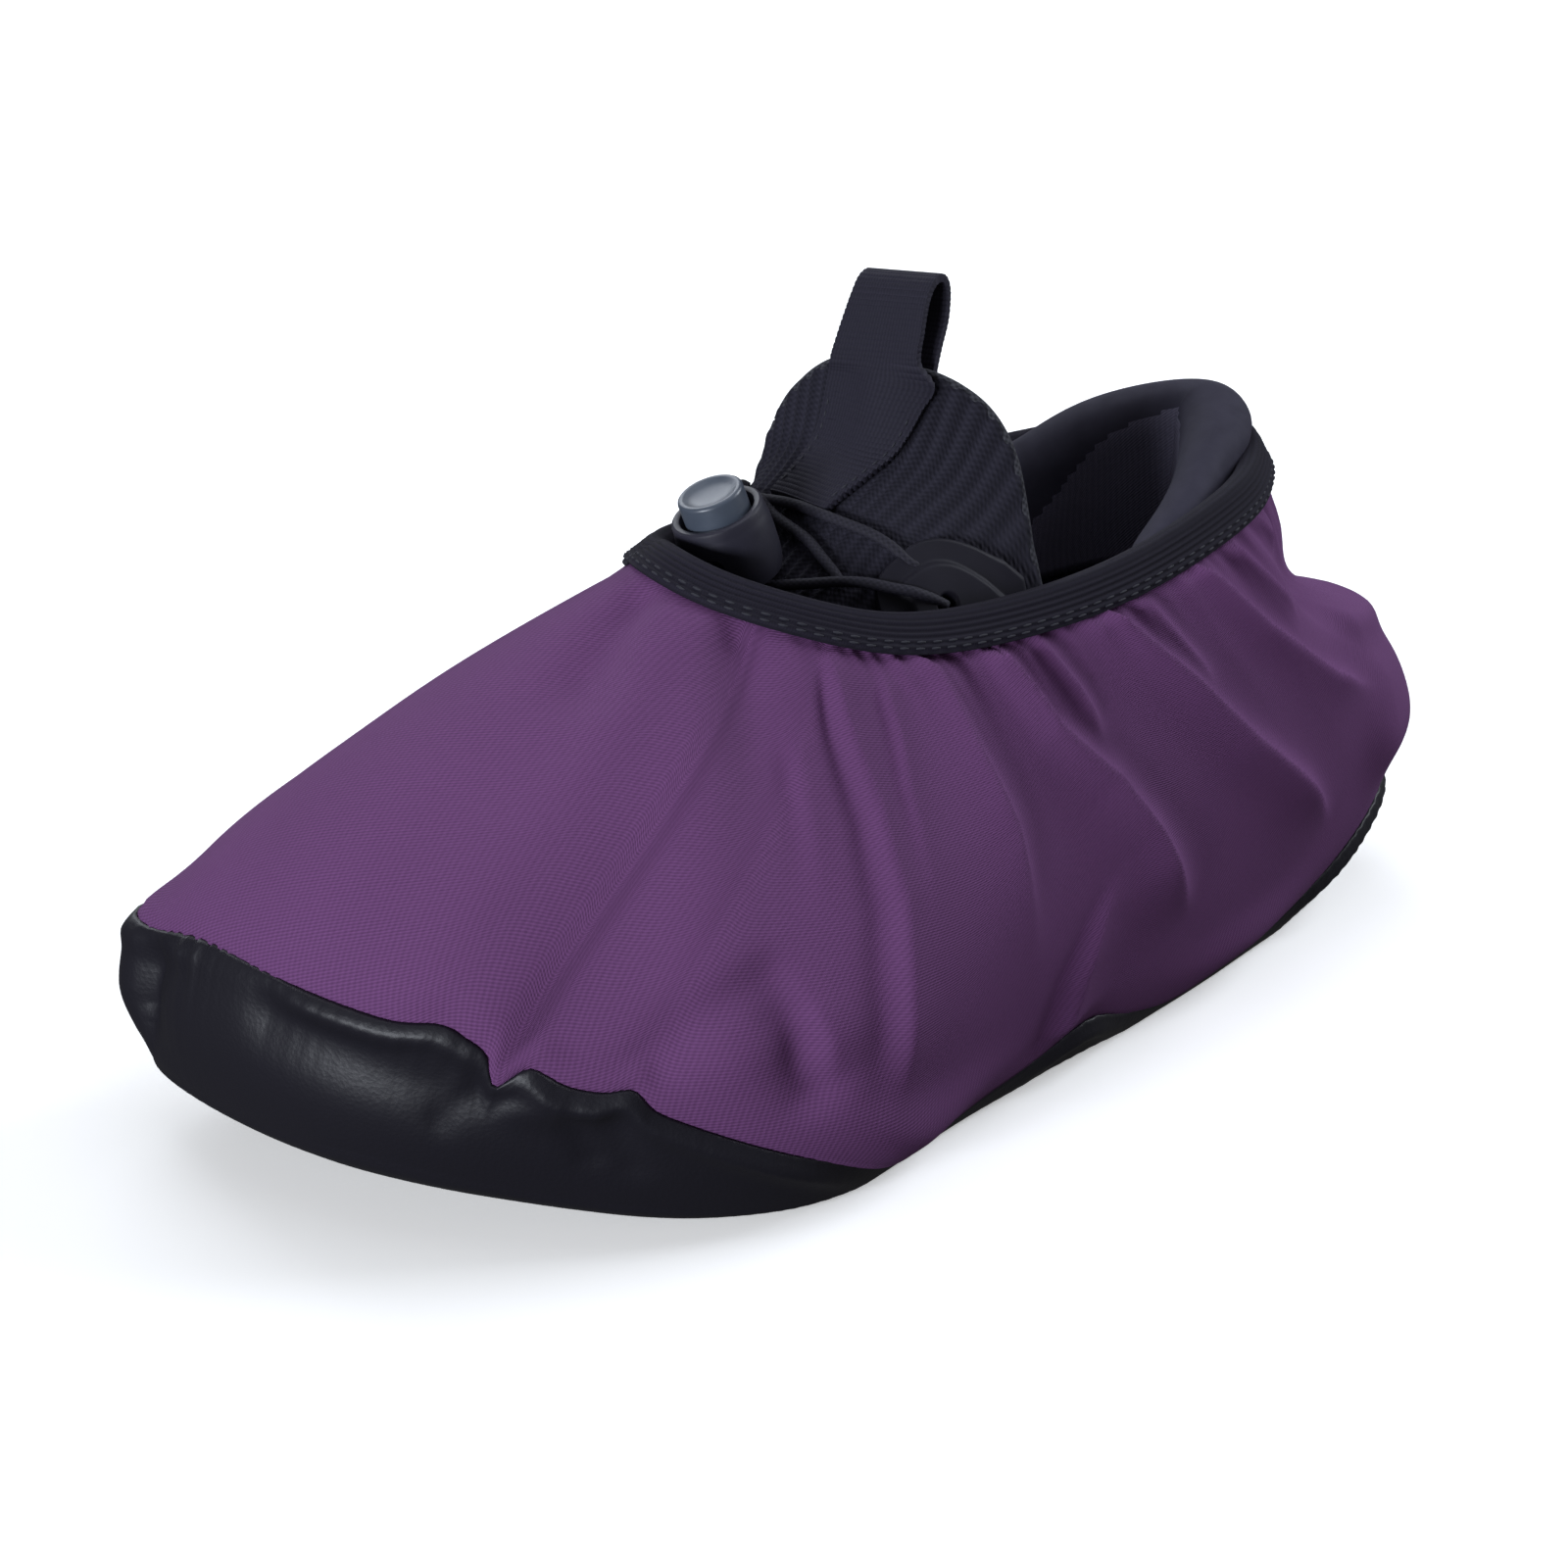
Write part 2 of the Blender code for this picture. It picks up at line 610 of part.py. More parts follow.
def make_cord(name, run, side=1):
    """An elastic cord as a round tube along its run, on the tongue's outer or inner side."""
    curve = bpy.data.curves.new(name, "CURVE")
    curve.dimensions = "3D"
    curve.bevel_depth = CORD_RADIUS
    curve.bevel_resolution = 2
    curve.use_fill_caps = True
    stops = np.array(run)
    reach = np.linspace(0, len(run) - 1, CORD_STEPS * (len(run) - 1) + 1)
    section, share, lift = (np.interp(reach, range(len(run)), stops[:, i]) for i in range(3))
    path = tongue(section, side * share) + tongue_normal(section, side * share) * lift[:, None] * MM
    spline = curve.splines.new("POLY")
    spline.points.add(len(path) - 1)
    for point, place in zip(spline.points, path):
        point.co = (*place, 1)
    place_object(name, curve, "cord_black")


def main():
    for obj in list(bpy.data.objects):
        bpy.data.objects.remove(obj)
    for name in ("parts", "cutters"):
        bpy.context.scene.collection.children.link(bpy.data.collections.new(name))
    make_finishes()
    make_outsole()
    make_upper()
    make_binding()
    make_tongue()
    make_pull_loop()
    make_heel_collar()
    make_tab("lace_tab_lateral", 1)
    make_tab("lace_tab_medial", -1)
    make_lock()
    make_cord("cord_cross", CROSS_RUN)
    make_cord("cord_lateral_front", FRONT_RUN)
    make_cord("cord_lateral_side", SIDE_RUN)
    make_cord("cord_medial_side", SIDE_RUN, side=-1)


if __name__ == "__main__":
    main()
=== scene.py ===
"""Dressed model of a cover for a left bowling shoe, with its tongue, heel collar, pull loop and drawcord.

The toe points along -Y, the heel along +Y, the wearer's left side along +X, and the sole stands on Z = 0.
A place on the cover is read as a row number around the foot, from the toe tip along the outer side to the
heel and back along the inner side, and a share of the way from sole edge to collar.
"""

import logging
import math
from collections.abc import Callable, Sequence
from dataclasses import dataclass, field, replace
from enum import Enum

import bmesh
import bpy
import numpy as np
from mathutils import Matrix, Vector

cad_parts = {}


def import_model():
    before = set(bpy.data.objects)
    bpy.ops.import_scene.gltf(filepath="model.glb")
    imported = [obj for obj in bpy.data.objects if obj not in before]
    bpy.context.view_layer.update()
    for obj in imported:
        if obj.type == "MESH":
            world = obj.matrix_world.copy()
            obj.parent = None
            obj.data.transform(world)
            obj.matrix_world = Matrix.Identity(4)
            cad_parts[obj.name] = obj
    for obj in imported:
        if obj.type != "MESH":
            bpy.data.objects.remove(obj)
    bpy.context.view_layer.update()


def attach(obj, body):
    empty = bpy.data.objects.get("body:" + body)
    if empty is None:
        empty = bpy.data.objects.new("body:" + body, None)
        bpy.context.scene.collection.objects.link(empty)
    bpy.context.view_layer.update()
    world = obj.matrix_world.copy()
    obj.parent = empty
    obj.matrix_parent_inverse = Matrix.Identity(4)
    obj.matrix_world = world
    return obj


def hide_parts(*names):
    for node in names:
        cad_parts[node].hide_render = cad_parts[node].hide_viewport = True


LOG = logging.getLogger("shoe_cover")
MM = 0.001
Array = np.ndarray
BMesh = bmesh.types.BMesh
Socket = bpy.types.NodeSocket
Colour = tuple[float, float, float]
Stops = tuple[tuple[float, float], ...]
Mapped = tuple[Array, Array]
Surface = Callable[[Array, Array], Mapped]
UP = np.array((0.0, 0.0, 1.0))
COVER = "cover"
LOCK_BUTTON = "lock_button"
# Blender's wave texture counts this many radians for one unit of length
WAVE_TURNS = 20


# Curves and meshes


def unit(vectors: Array) -> Array:
    """Vectors of length one along the last axis."""
    return vectors / np.linalg.norm(vectors, axis=-1, keepdims=True)


def ease(t: Array) -> Array:
    """A smooth step from 0 to 1."""
    t = np.clip(t, 0, 1)
    return t * t * (3 - 2 * t)


def bell(t: Array) -> Array:
    """A smooth bump of height 1 and half width 1."""
    return np.exp(-(t * t))


def hermite(f: Array, values: Sequence[Array], slopes: Sequence[Array]) -> Array:
    """A smooth step between two values with slopes of their own, at shares 0 to 1."""
    held = (1 + 2 * f) * (1 - f) ** 2 * values[0] + f * f * (3 - 2 * f) * values[1]
    return held + f * (1 - f) ** 2 * slopes[0] + f * f * (f - 1) * slopes[1]


def spline(values: Sequence, t: Array) -> Array:
    """Reads a smooth open curve through evenly spaced values.

    Args:
        values: One value or point for each whole number from 0.
        t: Where to read, in the same numbers.

    Returns:
        The values there, with the points' own axes last.
    """
    knots = np.asarray(values, float)
    slopes = np.gradient(knots, axis=0)
    t = np.asarray(t, float)
    i = np.clip(np.floor(t).astype(int), 0, len(knots) - 2)
    f = (t - i).reshape(t.shape + (1,) * (knots.ndim - 1))
    return hermite(f, (knots[i], knots[i + 1]), (slopes[i], slopes[i + 1]))


def run_length(points: Array, axis: int) -> Array:
    """Distance along a grid of points, from its start on one axis."""
    steps = np.linalg.norm(np.diff(points, axis=axis), axis=-1)
    start = np.zeros_like(np.take(steps, [0], axis=axis))
    return np.concatenate((start, np.cumsum(steps, axis=axis)), axis=axis)


def lengths(points: Array) -> Array:
    """Distances along both directions of a grid of points."""
    return np.stack((run_length(points, 1), run_length(points, 0)), -1)


def patch(columns: int, rows: int, surface: Surface, merge: float = 1e-6) -> BMesh:
    """Lays a grid on a surface, with the cloth's own lengths as its UV map.

    Args:
        columns: Faces along the surface's first direction.
        rows: Faces along its second direction.
        surface: Gives points and cloth lengths for shares 0 to 1 in both directions.
        merge: Points nearer than this become one, which closes a surface that meets itself.

    Returns:
        The shaped bmesh.
    """
    bm = bmesh.new()
    layer = bm.loops.layers.uv.verify()
    bmesh.ops.create_grid(bm, x_segments=columns, y_segments=rows, size=0.5)
    flat = np.array([vert.co for vert in bm.verts])[:, :2]
    flat = np.round((flat - flat.min(0)) / (flat.max(0) - flat.min(0)), 6)
    order = np.lexsort((flat[:, 0], flat[:, 1]))
    shape = (rows + 1, columns + 1)
    points, cloth = surface(flat[order, 0].reshape(shape), flat[order, 1].reshape(shape))
    places = np.empty((len(order), 3))
    mapped = np.empty((len(order), 2))
    places[order] = points.reshape(-1, 3)
    mapped[order] = cloth.reshape(-1, 2)
    for vert, place in zip(bm.verts, places):
        vert.co = place
    bm.verts.index_update()
    for face in bm.faces:
        for corner in face.loops:
            corner[layer].uv = mapped[corner.vert.index]
    bmesh.ops.remove_doubles(bm, verts=bm.verts, dist=merge)
    return bm


def tube(path: Array, radius: float, sides: int = 14) -> BMesh:
    """A round cord along a path of points, closed at both ends.

    Args:
        path: Points along the middle of the cord.
        radius: The cord's radius.
        sides: Faces around it.

    Returns:
        The cord's bmesh.
    """
    along = unit(np.gradient(path, axis=0))
    first = unit(np.cross(along, np.where(np.abs(along[:, 2:]) < 0.9, UP, (1.0, 0.0, 0.0))))
    second = np.cross(along, first)
    length = run_length(path, 0)

    def surface(u: Array, v: Array) -> Mapped:
        """Points and lengths of the cord, for the grid."""
        turn = u * 2 * math.pi
        step = np.rint(v * (len(path) - 1)).astype(int)
        out = first[step] * np.cos(turn)[..., None] + second[step] * np.sin(turn)[..., None]
        cloth = np.stack((u * 2 * math.pi * radius, length[step]), -1)
        return path[step] + out * radius, cloth

    bm = patch(sides, len(path) - 1, surface)
    bmesh.ops.holes_fill(bm, edges=bm.edges, sides=sides)
    return bm


def link_mesh(name: str, bm: BMesh) -> bpy.types.Object:
    """Puts a shape into the scene as an object, and uses the bmesh up."""
    mesh = bpy.data.meshes.new(name)
    bm.to_mesh(mesh)
    bm.free()
    obj = bpy.data.objects.new(name, mesh)
    bpy.context.scene.collection.objects.link(obj)
    return obj


def add_piece(
    name: str,
    bm: BMesh,
    finishes: Sequence["Finish"],
    body: str = COVER,
    replaces: Sequence[str] = (),
    turn_out: bool = True,
) -> bpy.types.Object:
    """Makes a dressed piece that rides on a body.

    Args:
        name: The piece's name.
        bm: Its shape, which is used up.
        finishes: Its finishes, one for each material slot.
        body: The body that it moves with.
        replaces: The solids that it stands for.
        turn_out: Whether its faces are turned outwards first.

    Returns:
        The new object.
    """
    if turn_out:
        bmesh.ops.recalc_face_normals(bm, faces=bm.faces)
    obj = link_mesh(name, bm)
    obj.data.shade_smooth()
    for finish in finishes:
        obj.data.materials.append(finish.material())
    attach(obj, body)
    if replaces:
        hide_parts(*replaces)
    LOG.info("%s: %d faces on %s", name, len(obj.data.polygons), body)
    return obj


def thicken(
    obj: bpy.types.Object, wall: float, offset: float = -1.0, lining: int = 0, even: bool = True,
) -> None:
    """Gives a sheet its wall.

    Args:
        obj: The sheet.
        wall: Thickness of the wall.
        offset: -1 for a wall inside the sheet, 0 for one on both sides.
        lining: How many material slots further on the inner face's finish is.
        even: Whether the wall is kept even at sharp bends.
    """
    solid = obj.modifiers.new("wall", "SOLIDIFY")
    solid.thickness = wall
    solid.offset = offset
    solid.use_even_offset = even
    solid.material_offset = lining


def soften(obj: bpy.types.Object, width: float, segments: int = 2, sharp: float = 50.0) -> None:
    """Rounds the edges of a piece that are sharper than an angle in degrees."""
    bevel = obj.modifiers.new("edges", "BEVEL")
    bevel.width = width
    bevel.segments = segments
    bevel.limit_method = "ANGLE"
    bevel.angle_limit = math.radians(sharp)


# Finishes


class Recipe:
    """Builds the node tree of one finish."""

    def __init__(self, name: str) -> None:
        """Starts a material with its shader."""
        self.material = bpy.data.materials.new(name)
        self.material.use_nodes = True
        self.tree = self.material.node_tree
        self.shader = self.tree.nodes["Principled BSDF"]

    def feed(self, node: bpy.types.Node, socket: str | int, value: object) -> None:
        """Sets a socket, or links it if the value is another node's socket."""
        if isinstance(value, Socket):
            self.tree.links.new(value, node.inputs[socket])
        else:
            node.inputs[socket].default_value = value

    def add(self, kind: str, inputs: dict | None = None, **settings: object) -> bpy.types.Node:
        """Adds a node.

        Args:
            kind: Blender's name of the node, without ShaderNode.
            inputs: Its sockets and their values.
            **settings: Its properties.

        Returns:
            The node.
        """
        node = self.tree.nodes.new("ShaderNode" + kind)
        for key, value in settings.items():
            setattr(node, key, value)
        for socket, value in (inputs or {}).items():
            self.feed(node, socket, value)
        return node

    def place(self, kind: str) -> Socket:
        """A texture coordinate, Object or UV."""
        return self.add("TexCoord").outputs[kind]

    def turned(self, vector: Socket, angle: float) -> Socket:
        """Coordinates turned about Z, in degrees."""
        spin = (0.0, 0.0, math.radians(angle))
        return self.add("Mapping", {"Vector": vector, "Rotation": spin}).outputs["Vector"]

    def shade(self, inputs: dict[str, object]) -> None:
        """Sets or links sockets of the shader."""
        for socket, value in inputs.items():
            self.feed(self.shader, socket, value)

    def bands(self, vector: Socket, pitch: float, axis: str = "X", stray: float = 0.0) -> Socket:
        """Even bands from 0 to 1 across an axis.

        Args:
            vector: Coordinates in metres.
            pitch: Distance from band to band.
            axis: The axis that the bands follow each other on.
            stray: How much the bands waver.

        Returns:
            The bands' socket.
        """
        scale = 2 * math.pi / (WAVE_TURNS * pitch)
        inputs = {"Vector": vector, "Scale": scale, "Distortion": stray, "Detail": 1.0, "Detail Scale": 0.6}
        return self.add("TexWave", inputs, bands_direction=axis).outputs["Fac"]

    def noise(self, vector: Socket, grain: float, detail: float = 2.0) -> Socket:
        """Soft spots about one grain across."""
        return self.add("TexNoise", {"Vector": vector, "Scale": 1 / grain, "Detail": detail}).outputs["Fac"]

    def sum(self, *terms: tuple[Socket, float]) -> Socket:
        """A weighted sum of values."""
        total: Socket | float = 0.0
        for socket, weight in terms:
            total = self.add("Math", {0: socket, 1: weight, 2: total}, operation="MULTIPLY_ADD").outputs[0]
        return total

    def between(self, value: Socket, low: float, high: float) -> Socket:
        """A value from 0 to 1 spread over a range."""
        return self.add("MapRange", {"Value": value, "To Min": low, "To Max": high}).outputs["Result"]

    def blend(self, share: Socket, dark: Colour, light: Colour) -> Socket:
        """A colour between two others."""
        node = self.add("Mix", {"Factor": share}, data_type="RGBA")
        node.inputs[6].default_value = (*dark, 1)
        node.inputs[7].default_value = (*light, 1)
        return node.outputs[2]

    def bump(self, height: Socket, depth: float, strength: float) -> None:
        """Raises the surface by a height."""
        inputs = {"Height": height, "Distance": depth, "Strength": strength}
        self.shade({"Normal": self.add("Bump", inputs).outputs["Normal"]})


MADE: dict[str, bpy.types.Material] = {}


@dataclass(frozen=True)
class Finish:
    """A finish between two shades of one colour."""

    name: str
    dark: Colour
    light: Colour
    roughness: float
    sheen: float = 0.0
    gloss: float = 0.5

    def material(self) -> bpy.types.Material:
        """The finish's material, made once."""
        if self.name not in MADE:
            recipe = Recipe(self.name)
            recipe.shade({
                "Roughness": self.roughness,
                "Sheen Weight": self.sheen,
                "Sheen Roughness": 0.5,
                "Sheen Tint": (*self.light, 1),
                "Specular IOR Level": self.gloss,
            })
            recipe.material.diffuse_color = (*self.light, 1)
            self.dress(recipe)
            MADE[self.name] = recipe.material
        return MADE[self.name]

    def colour(self, recipe: Recipe, tone: Socket) -> None:
        """Blends the two shades by a tone."""
        recipe.shade({"Base Color": recipe.blend(tone, self.dark, self.light)})

    def dress(self, recipe: Recipe) -> None:
        """Adds the finish's own pattern to its recipe."""
        mottle = recipe.noise(recipe.place("Object"), 4 * MM, 4.0)
        self.colour(recipe, mottle)
        recipe.bump(recipe.noise(recipe.place("Object"), 0.5 * MM), 0.05 * MM, 0.3)


@dataclass(frozen=True)
class TwillKnit(Finish):
    """Fine knit whose threads make slanted lines."""

    pitch: float = 0.66 * MM
    slant: float = 62.0
    stitch: float = 1.1 * MM
    stitch_turn: float = 75.0

    def dress(self, recipe: Recipe) -> None:
        """Slanted lines, stitches across them, and soft mottling, with painted shade in the gaps between
        threads.
        """
        cloth = recipe.place("UV")
        lines = recipe.bands(recipe.turned(cloth, self.slant), self.pitch, stray=0.6)
        stitches = recipe.bands(recipe.turned(cloth, self.slant - self.stitch_turn), self.stitch, stray=1.2)
        fuzz = recipe.noise(recipe.place("Object"), 0.5 * MM, 3.0)
        mottle = recipe.noise(recipe.place("Object"), 60 * MM, 2.0)
        relief = recipe.sum((lines, 0.6), (stitches, 0.3), (fuzz, 0.4))
        # The colour follows the threads' relief and is darker in the gaps between them: painted shade.
        tone = recipe.sum((relief, 0.72), (mottle, 0.35))
        self.colour(recipe, tone)
        recipe.bump(relief, 0.17 * MM, 0.7)


@dataclass(frozen=True)
class GrainLeather(Finish):
    """Leather-look sheet with a fine pebble grain."""

    pebble: float = 0.9 * MM
    wear: float = 0.08

    def dress(self, recipe: Recipe) -> None:
        """Pebbles, pores, and worn patches that shine a little more."""
        place = recipe.place("Object")
        pebbles = recipe.add("TexVoronoi", {"Vector": place, "Scale": 1 / self.pebble}).outputs["Distance"]
        pores = recipe.noise(place, 0.35 * MM, 3.0)
        worn = recipe.noise(place, 18 * MM, 3.0)
        relief = recipe.sum((pebbles, 0.7), (pores, 0.5))
        self.colour(recipe, recipe.sum((worn, 0.6), (pores, 0.4)))
        dull, bright = self.roughness + self.wear, self.roughness - self.wear
        recipe.shade({"Roughness": recipe.between(worn, dull, bright)})
        recipe.bump(relief, 0.16 * MM, 0.35)


@dataclass(frozen=True)
class RibbedCloth(Finish):
    """Cloth with ribs in its shape, with a painted highlight on their crests, and threads across them."""

    rib: float = 1.25 * MM
    rib_axis: str = "Y"
    thread: float = 0.55 * MM
    thread_axis: str = "X"
    depth: float = 0.08 * MM

    def dress(self, recipe: Recipe) -> None:
        """Painted highlight on the crests, threads across, and fluff."""
        cloth = recipe.place("UV")
        painted_crest_highlight = recipe.bands(cloth, self.rib, self.rib_axis)
        threads = recipe.bands(cloth, self.thread, self.thread_axis, stray=0.8)
        fluff = recipe.noise(recipe.place("Object"), 0.6 * MM, 3.0)
        # The ribs' crests are painted lighter: a painted highlight.
        tone = recipe.sum((painted_crest_highlight, 0.4), (threads, 0.3), (fluff, 0.3))
        self.colour(recipe, tone)
        recipe.bump(recipe.sum((threads, 0.7), (fluff, 0.6)), self.depth, 0.6)


@dataclass(frozen=True)
class StitchKnit(Finish):
    """Rib knit with rows of slanted stitches in each rib."""

    rib: float = 2.7 * MM
    stitch: float = 0.9 * MM
    lean: float = 52.0

    def dress(self, recipe: Recipe) -> None:
        """Ribs with a painted highlight on their crests, and stitches that lean to both sides of them."""
        cloth = recipe.place("UV")
        painted_crest_highlight = recipe.bands(cloth, self.rib)
        left = recipe.bands(recipe.turned(cloth, self.lean), self.stitch, stray=0.8)
        right = recipe.bands(recipe.turned(cloth, -self.lean), self.stitch, stray=0.8)
        fluff = recipe.noise(recipe.place("Object"), 0.5 * MM, 3.0)
        relief = recipe.sum((left, 0.5), (right, 0.5), (fluff, 0.3))
        # The ribs' crests are painted lighter: a painted highlight.
        tone = recipe.sum((painted_crest_highlight, 0.35), (relief, 0.5))
        self.colour(recipe, tone)
        recipe.bump(relief, 0.22 * MM, 0.7)


@dataclass(frozen=True)
class Braid(Finish):
    """Braided cord or thread with strands that wind both ways."""

    strand: float = 0.8 * MM
    lean: float = 40.0

    def dress(self, recipe: Recipe) -> None:
        """Two sets of slanted strands."""
        cloth = recipe.place("UV")
        left = recipe.bands(recipe.turned(cloth, self.lean), self.strand)
        right = recipe.bands(recipe.turned(cloth, -self.lean), self.strand)
        relief = recipe.sum((left, 0.5), (right, 0.5))
        self.colour(recipe, relief)
        recipe.bump(relief, 0.08 * MM, 0.5)


@dataclass(frozen=True)
class Moulded(Finish):
    """Moulded plastic or rubber with a fine spark texture and a few scuffs."""

    spark: float = 0.25 * MM
    wear: float = 0.07

    def dress(self, recipe: Recipe) -> None:
        """Spark texture, cloudy tone and uneven gloss."""
        place = recipe.place("Object")
        spark = recipe.noise(place, self.spark, 2.0)
        cloud = recipe.noise(place, 5 * MM, 4.0)
        self.colour(recipe, cloud)
        dull, bright = self.roughness + self.wear, self.roughness - self.wear
        recipe.shade({"Roughness": recipe.between(cloud, bright, dull)})
        recipe.bump(spark, 0.03 * MM, 0.35)


KNIT_PURPLE = TwillKnit(
    "knit_purple_cloth", (0.061, 0.021, 0.069), (0.178, 0.069, 0.200), 0.85, sheen=0.20, gloss=0.2,
)
# Back of the knit, made much lighter than the black parts so that the shaded inside reads lighter: painted
# light.
LINING_PAINTED_FILL = TwillKnit("knit_backing_painted_fill", (0.060, 0.055, 0.085), (0.130, 0.120, 0.175), 0.9, sheen=0.1, gloss=0.2)
LEATHER = GrainLeather("sole_leather", (0.0062, 0.0056, 0.0098), (0.0118, 0.0108, 0.0172), 0.47, gloss=0.38)
ELASTIC = RibbedCloth(
    "binding_elastic", (0.0065, 0.0056, 0.0105), (0.0200, 0.0175, 0.0300), 0.85, sheen=0.12, gloss=0.2,
)
TONGUE_KNIT = StitchKnit(
    "tongue_knit", (0.0070, 0.0065, 0.0115), (0.0320, 0.0300, 0.0460), 0.9, sheen=0.12, gloss=0.2,
)
WEBBING = RibbedCloth(
    "loop_webbing", (0.0110, 0.0100, 0.0180), (0.0340, 0.0310, 0.0500), 0.8, sheen=0.10, gloss=0.25,
    rib=1.05 * MM, thread=0.7 * MM,
)
PADDING = Finish(
    "collar_fabric", (0.0220, 0.0202, 0.0340), (0.0430, 0.0395, 0.0620), 0.8, sheen=0.25, gloss=0.2,
)
RUBBER = Moulded("tab_rubber", (0.0072, 0.0064, 0.0120), (0.0125, 0.0112, 0.0190), 0.60, gloss=0.2)
PLASTIC = Moulded("lock_plastic", (0.0190, 0.0178, 0.0290), (0.0310, 0.0292, 0.0450), 0.46, gloss=0.45)
GREY_PLASTIC = Moulded("button_plastic", (0.052, 0.064, 0.088), (0.078, 0.096, 0.130), 0.36, gloss=0.6)
CORD = Braid("drawcord", (0.0085, 0.0076, 0.0135), (0.0240, 0.0220, 0.0350), 0.75, sheen=0.1, gloss=0.3)
OVERLOCK = Braid(
    "overlock_thread", (0.010, 0.010, 0.014), (0.060, 0.060, 0.074), 0.8, gloss=0.3, strand=0.9 * MM,
)
THREAD = Braid("sewing_thread", (0.030, 0.030, 0.040), (0.075, 0.075, 0.092), 0.7, gloss=0.3, strand=0.5 * MM)


# Form of the cover


@dataclass(frozen=True)
class Row:
    """One place around the foot: shares of the driving sizes, and the sole edge's lift in mm."""

    name: str
    sole_along: float
    sole_across: float
    sole_lift: float
    seam: float
    collar_along: float
    collar_across: float
    collar_rise: float


ROWS_AROUND = (
    Row("toe_tip", 0.016, -0.28, 14.5, 0.26, 0.345, -0.06, 1.015),
    Row("toe_corner_out", 0.050, 0.20, 14.5, 0.255, 0.346, 0.16, 1.006),
    Row("toe_side_out", 0.140, 0.58, 7.5, 0.215, 0.380, 0.36, 0.968),
    Row("ball_out", 0.275, 0.92, 2.0, 0.10, 0.443, 0.49, 0.918),
    Row("waist_out", 0.425, 0.835, 2.0, 0.04, 0.535, 0.55, 0.900),
    Row("arch_out", 0.610, 0.715, 2.0, 0.045, 0.637, 0.56, 0.912),
    Row("heel_side_out", 0.775, 0.56, 2.0, 0.025, 0.744, 0.465, 0.935),
    Row("heel_corner_out", 0.900, 0.39, 4.5, 0.14, 0.822, 0.265, 0.930),
    Row("heel_back", 0.962, 0.01, 3.0, 0.18, 0.875, -0.07, 0.920),
    Row("heel_corner_in", 0.905, -0.47, 3.0, 0.14, 0.828, -0.42, 0.890),
    Row("heel_side_in", 0.775, -0.65, 2.0, 0.07, 0.744, -0.60, 0.868),
    Row("arch_in", 0.610, -0.65, 2.0, 0.06, 0.637, -0.66, 0.865),
    Row("waist_in", 0.425, -0.72, 2.0, 0.05, 0.535, -0.64, 0.870),
    Row("ball_in", 0.270, -0.83, 2.0, 0.11, 0.452, -0.55, 0.905),
    Row("toe_side_in", 0.138, -0.865, 6.5, 0.20, 0.392, -0.39, 0.945),
    Row("toe_corner_in", 0.028, -0.84, 13.5, 0.27, 0.367, -0.22, 0.980),
)
ROWS = len(ROWS_AROUND)
HEEL_ROW = ROWS / 2
WALL_GAP = 0.3 * MM
UPPER_WALL = 1.5 * MM
SIDE_RUN = 110 * MM
LEAST_STEEP = 1.8


